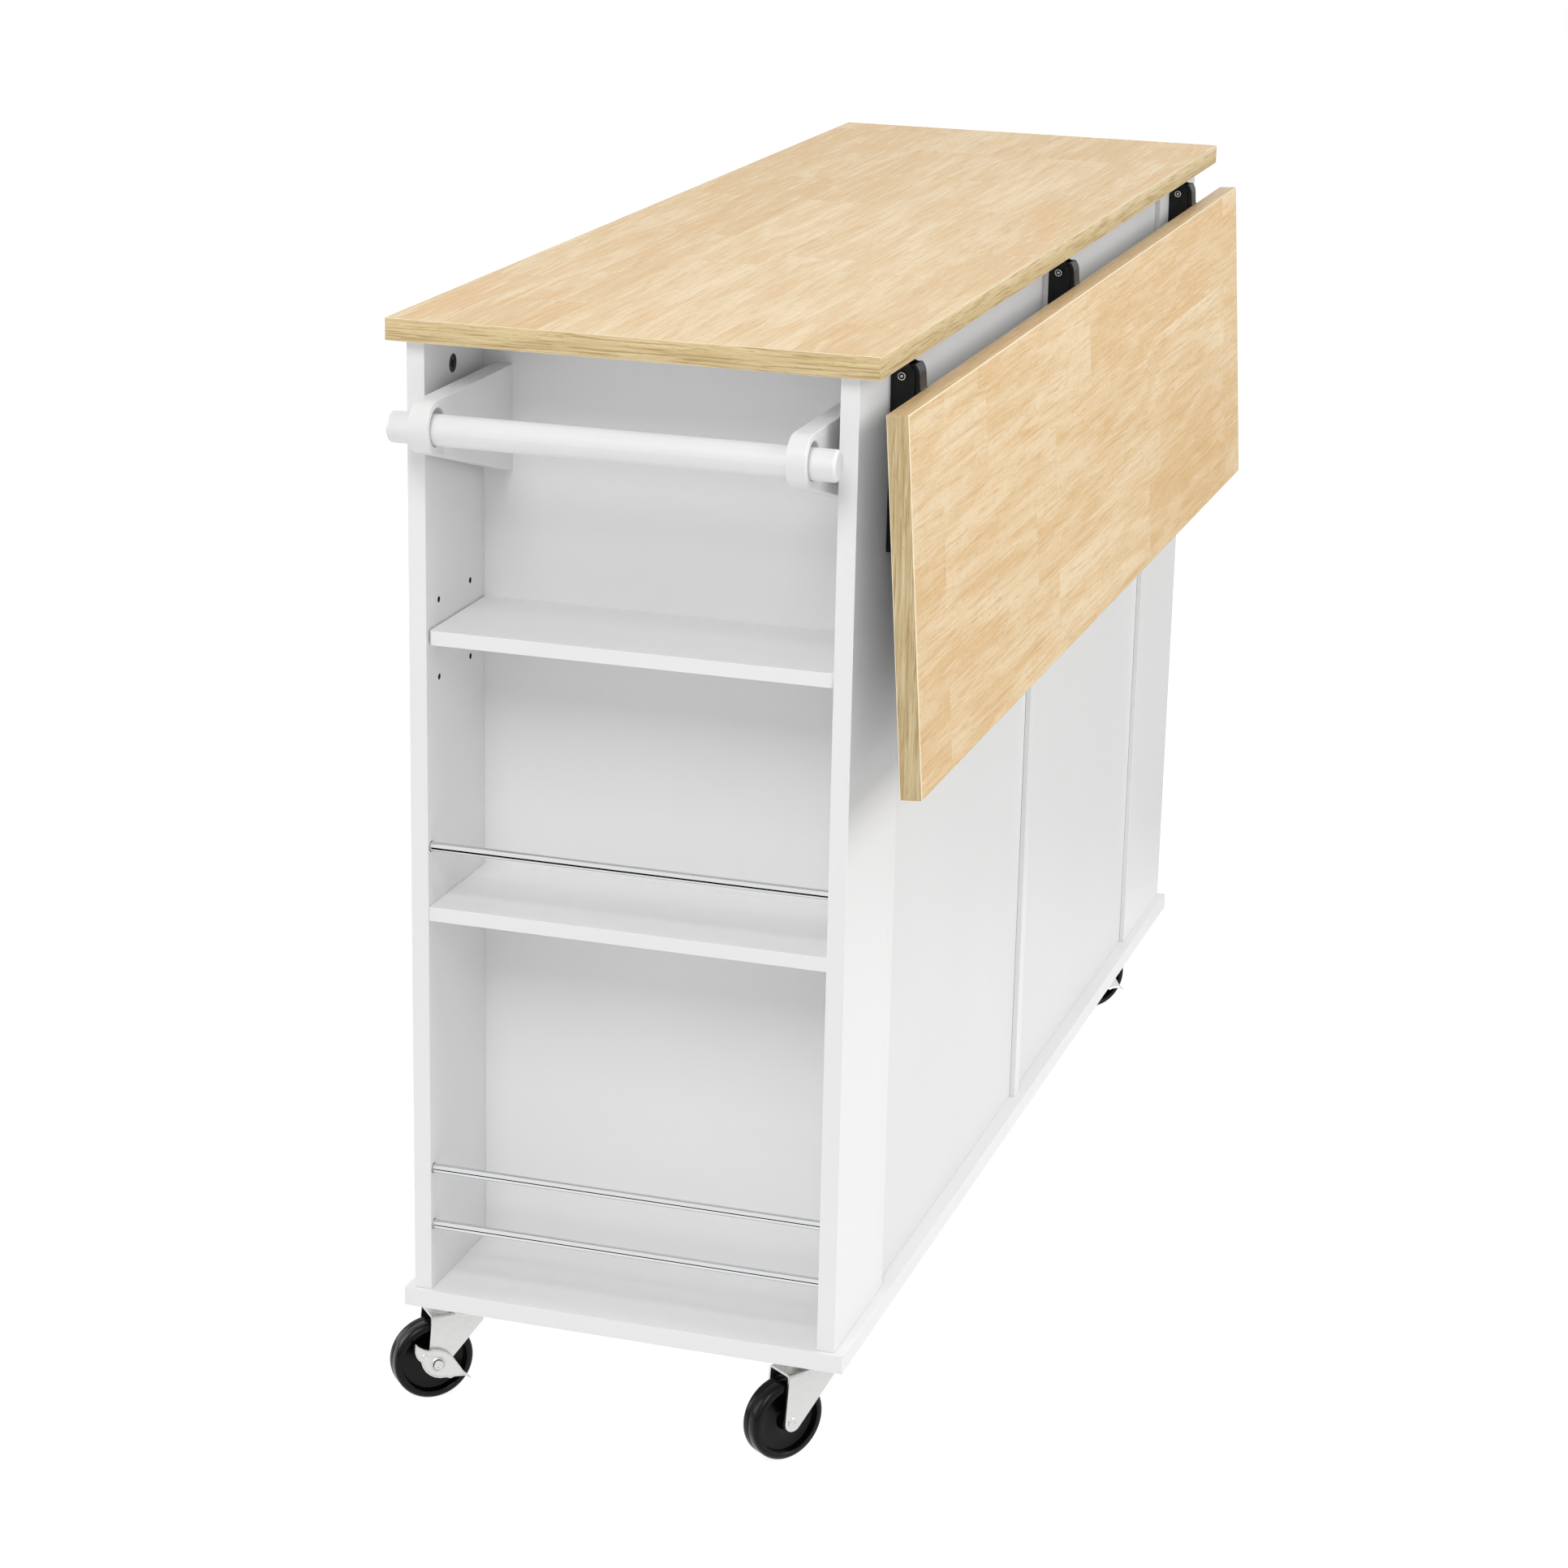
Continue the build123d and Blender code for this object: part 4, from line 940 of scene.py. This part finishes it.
# %% Foot lever
lever_points = [
    *arc((19.5, 21.5), (14.2, 17.1), (8, 14.2)),
    *arc((8, 14.2), (-3.5, 12.6), (-12.5, 6)),
    (-12.5, 6), (-17.2, -1.6), (-22.4, -9.8), (-30.4, -18.6), (-23.3, -14.4), (-14.3, -13.6),
    (-10.7, -14.6),
    *arc((-7, -13), (7.5, -8.7), (15.3, 4.8)),
    *arc((15.3, 4.8), (20.2, 12.5), (19.5, 21.5)),
]
lever_in, lever_out, lever_steel = 14.3, 17.95, 1.3
edge_turn = 0.4
tip_place = (12, 9.2)
blade = plate("blade", lever_points, lever_out - lever_steel, lever_out)
edit(blade, "FACE", lambda face: near(middle_of(face).z, lever_out))
for thickness, depth in ((0.5, 0.35), (0.6, 0), (0.4, -0.45)):
    bpy.ops.mesh.inset(thickness=thickness * mm, depth=depth * mm)
close_edit(blade)
turned_in = plate("turned_in", lever_points, lever_in, lever_out - lever_steel)
shifted = [(x - edge_turn, y - lever_steel) for x, y in lever_points]
combine(turned_in, plate("cutter", shifted, lever_in - 1, lever_out))
combine(blade, turned_in, "UNION")
boss = turned("boss", [(6.7, lever_in), (6.7, lever_out), (6.2, lever_out + 0.5), (5.4, lever_out + 0.5),
                       (4.9, lever_out), (4.8, lever_out - 0.1)], 48)
combine(blade, boss, "UNION")
combine(blade, turned("bore", [(3.1, 0), (3.1, 30)], 32))
dimple = turned("dimple", [(2.4, lever_out - 1), (2.4, lever_out - 0.1), (2.0, lever_out + 0.4),
                           (1.3, lever_out + 0.4), (0.9, lever_out)], 24)
dimple.location = (tip_place[0] * mm, tip_place[1] * mm, 0)
combine(blade, settle(dimple, "dimple"), "UNION")
soften(blade, 0.2)
print("lever has", len(blade.data.polygons), "faces")

# %% [markdown]
# The blade was drawn flat, with its outline in X and Y. A matrix that swaps Y and Z stands it up beside
# the fork. A swap of two axes also mirrors, which turns every face inside out, so the faces of each copy
# are made to point outwards again. A Mirror modifier would give the same shape with more steps.

# %% Place the levers
stood_up = Matrix(((1, 0, 0, 0), (0, 0, 1, 0), (0, 1, 0, 0), (0, 0, 0, 1)))
for name in braked:
    lever = copy_to(blade, f"{name}_foot_lever", caster_frames[name] @ to_axle @ stood_up)
    edit(lever)
    close_edit(lever)
    dress(lever, f"{name}_brake", "zinc_steel", f"{name}_brake_lever", finish=zinc_steel)
put_away(blade)
print("levers on", braked)

# %% [markdown]
# Pan head screws in two sizes hold the casters and brackets. A picture of a screw could be laid on a
# disc, but its recess would stay flat in side light. So one helper models both sizes: a turned head,
# given as shares of its radius and height, with a crossed recess cut by two small boxes.

# %% Screw
dome = ((1, 0), (1, 0.35), (0.92, 0.7), (0.7, 0.93), (0.35, 1))


def screw_head(name, radius, height):
    """A pan head with a crossed recess, standing on Z from zero."""
    head = turned(name, [(radius * out, height * up) for out, up in dome], 24)
    arm = radius * 0.62
    slot = radius * 0.13
    sunk = height * 0.35
    cross = block("cross", (-arm, -slot, sunk), (arm, slot, height * 2))
    combine(cross, block("cross", (-slot, -arm, sunk), (slot, arm, height * 2)), "UNION")
    return combine(head, cross)


pan_head = screw_head("pan_head", 4, 2.2)
print("screw head has", len(pan_head.data.polygons), "faces")

# %% [markdown]
# The top plate of a caster is a square of sheet with rounded corners and a screw in each. The upper
# race is a cup pressed out of the plate, and the king rivet holds the fork up from below its crown. The
# plates are drawn in the caster's frame like the rest, but they don't turn with the fork, so its
# heading is taken off again.

# %% Caster plates
plate_bottom, base_bottom = 91.5, 94
plate_corner = 4
screw_out = 19
cup_section = [(19.6, 85.3), (20.6, 85.6), (21, 86.4), (21, 89.4), (21.6, 90.8), (23, 91.6)]
king_section = [(2, 73.6), (5.5, 73.8), (7, 74.6), (7.5, 75.6), (7.5, 76.2), (4.5, 76.2), (4.5, 86)]
for name, matrix in caster_frames.items():
    square = block("plate", (-half_plate, -half_plate, plate_bottom), (half_plate, half_plate, base_bottom))
    round_edges(square, plate_corner, 4, lambda edge: abs(edge.verts[0].co.z - edge.verts[1].co.z) > mm)
    soften(square, 0.3)
    parts = [square, turned("cup", cup_section, 64), turned("king", king_section, 40)]
    for x in (-screw_out, screw_out):
        for y in (-screw_out, screw_out):
            spot = Matrix.Translation((x * mm, y * mm, plate_bottom * mm))
            parts.append(copy_to(pan_head, "screw", spot @ Matrix.Rotation(math.pi, 4, "X")))
    whole = join(parts, f"{name}_top_plate")
    turn_back = Matrix.Rotation(math.radians(90 - headings[name]), 4, "Z")
    settle(whole, f"{name}_top_plate", matrix @ turn_back)
    replaced = ("caster_plates",) if name == "near_front" else ()
    dress(whole, "cabinet", "zinc_steel", *replaced, finish=zinc_steel)
print("four caster plates")

# %% [markdown]
# The folding brackets turn on bright hollow rivets. Over each black rivet of the CAD part goes a
# turned ring with a small dome in its middle, so the dark hollow shows between the two. A bored tube
# would show the same, but the black rivet is there already, so only what shines is added.

# %% Bright rivets
bracket_places = (491.5, -12.5, -517.5)
rivet_spots = ((177.2, 900), (177.2, 780))
channel_half = 11.7
ring_section = [(3.9, 0), (3.9, 0.8), (3.6, 1.4), (3.0, 1.7), (2.4, 1.6), (2.1, 1.2), (2.1, 0), (3.9, 0)]
dot_section = [(1.2, 1), (1.2, 1.6), (0.9, 1.8), (0.4, 1.85)]
to_near_end = Matrix.Rotation(quarter, 4, "Y")
to_far_end = Matrix.Rotation(-quarter, 4, "Y")
rivets = []
for x in bracket_places:
    for y, z in rivet_spots:
        for side_x, facing in ((x + channel_half, to_near_end), (x - channel_half, to_far_end)):
            at = Matrix.Translation((side_x * mm, y * mm, z * mm)) @ facing
            rivets.append(settle(turned("ring", ring_section, 32, bored=True), "ring", at))
            rivets.append(settle(turned("dot", dot_section, 20), "dot", at))
dress(join(rivets, "bracket_rivets"), "cabinet", "zinc_steel", finish=zinc_steel)
print(len(rivets) // 2, "rivets")

# %% [markdown]
# Small screws hold the channels to the back, in pairs, and the arms to the leaf. The ones of the leaf
# ride with it, so they are a piece of their own. Their places run down along the leaf from the pivot,
# with the same two directions that placed the board, so they stay flush with the tilted arms.

# %% Bracket screws
small_head = screw_head("small_head", 2.6, 1.6)
channel_face_y = 169.7
channel_screws = [(aside, z) for z in (800, 868) for aside in (-6.4, 6.4)]
arm_steel = 1.5
arm_screws = ((-5, 62), (5, 62), (0, 216), (0, 238))
to_front = Matrix.Rotation(quarter, 4, "X")
to_back = Matrix.Rotation(-quarter, 4, "X")
inward = Matrix((Vector((1, 0, 0)), -down, -out)).transposed().to_4x4()
arm_face = pivot + out * (pivot_drop - arm_steel) * mm
on_channels = []
on_arms = []
for x in bracket_places:
    for aside, z in channel_screws:
        at = Matrix.Translation(((x + aside) * mm, channel_face_y * mm, z * mm)) @ to_back
        on_channels.append(copy_to(small_head, "screw", at))
    for aside, along in arm_screws:
        spot = arm_face + down * along * mm + Vector((x + aside, 0, 0)) * mm
        on_arms.append(copy_to(small_head, "screw", Matrix.Translation(spot) @ inward))
dress(join(on_channels, "bracket_wall_screws"), "cabinet", "zinc_steel", finish=zinc_steel)
dress(join(on_arms, "leaf_arm_screws"), "leaf", "zinc_steel", finish=zinc_steel)
put_away(pan_head, small_head)
print(len(on_channels), "screws in the channels and", len(on_arms), "in the arms")

# %% [markdown]
# Cam locks pull the worktop down on the boards. Each is a die cast drum in a 15 mm bore, flush with the
# board, with a rim, a sunk face and a crossed slot for the screwdriver. A dark disc would do from far
# off, but the rim and slot catch the light. They are all left a little turned, as a screwdriver leaves
# them.

# %% Cam locks
drum = [(7.4, -12.5), (7.5, -12.2), (7.5, -0.3), (7.2, 0), (6.5, 0), (6.1, -0.7), (1, -0.7)]
cam = turned("cam", drum, 40)
cross = block("cross", (-4.2, -0.8, -3), (4.2, 0.8, 1))
combine(cross, block("cross", (-0.8, -4.2, -3), (0.8, 4.2, 1)), "UNION")
combine(cam, cross)
cam_low, cam_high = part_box("cam_locks")
cam_z = (cam_low.z + cam_high.z) / 2
cam_turn = Matrix.Rotation(math.radians(20), 4, "Z")
board_faces = ((-184.8, to_back), (153.2, to_front))
divider_faces = ((449.5, to_far_end), (-15.5, to_far_end), (-465.5, to_near_end))
cam_places = [(x, y, facing) for x in (528.5, -573.5) for y, facing in board_faces]
cam_places += [(x, y, facing) for x, facing in divider_faces for y in (-129.8, 89.2)]
cams = []
for x, y, facing in cam_places:
    at = Matrix.Translation((x * mm, y * mm, cam_z)) @ facing @ cam_turn
    cams.append(copy_to(cam, "cam", at))
dress(join(cams, "cam_lock_drums"), "cabinet", "cam_zinc", "cam_locks", finish=cam_zinc)
put_away(cam)
print(len(cams), "cam locks")

# %% [markdown]
# Last, the dressing is done.

# %% Finish
print("dressing done")
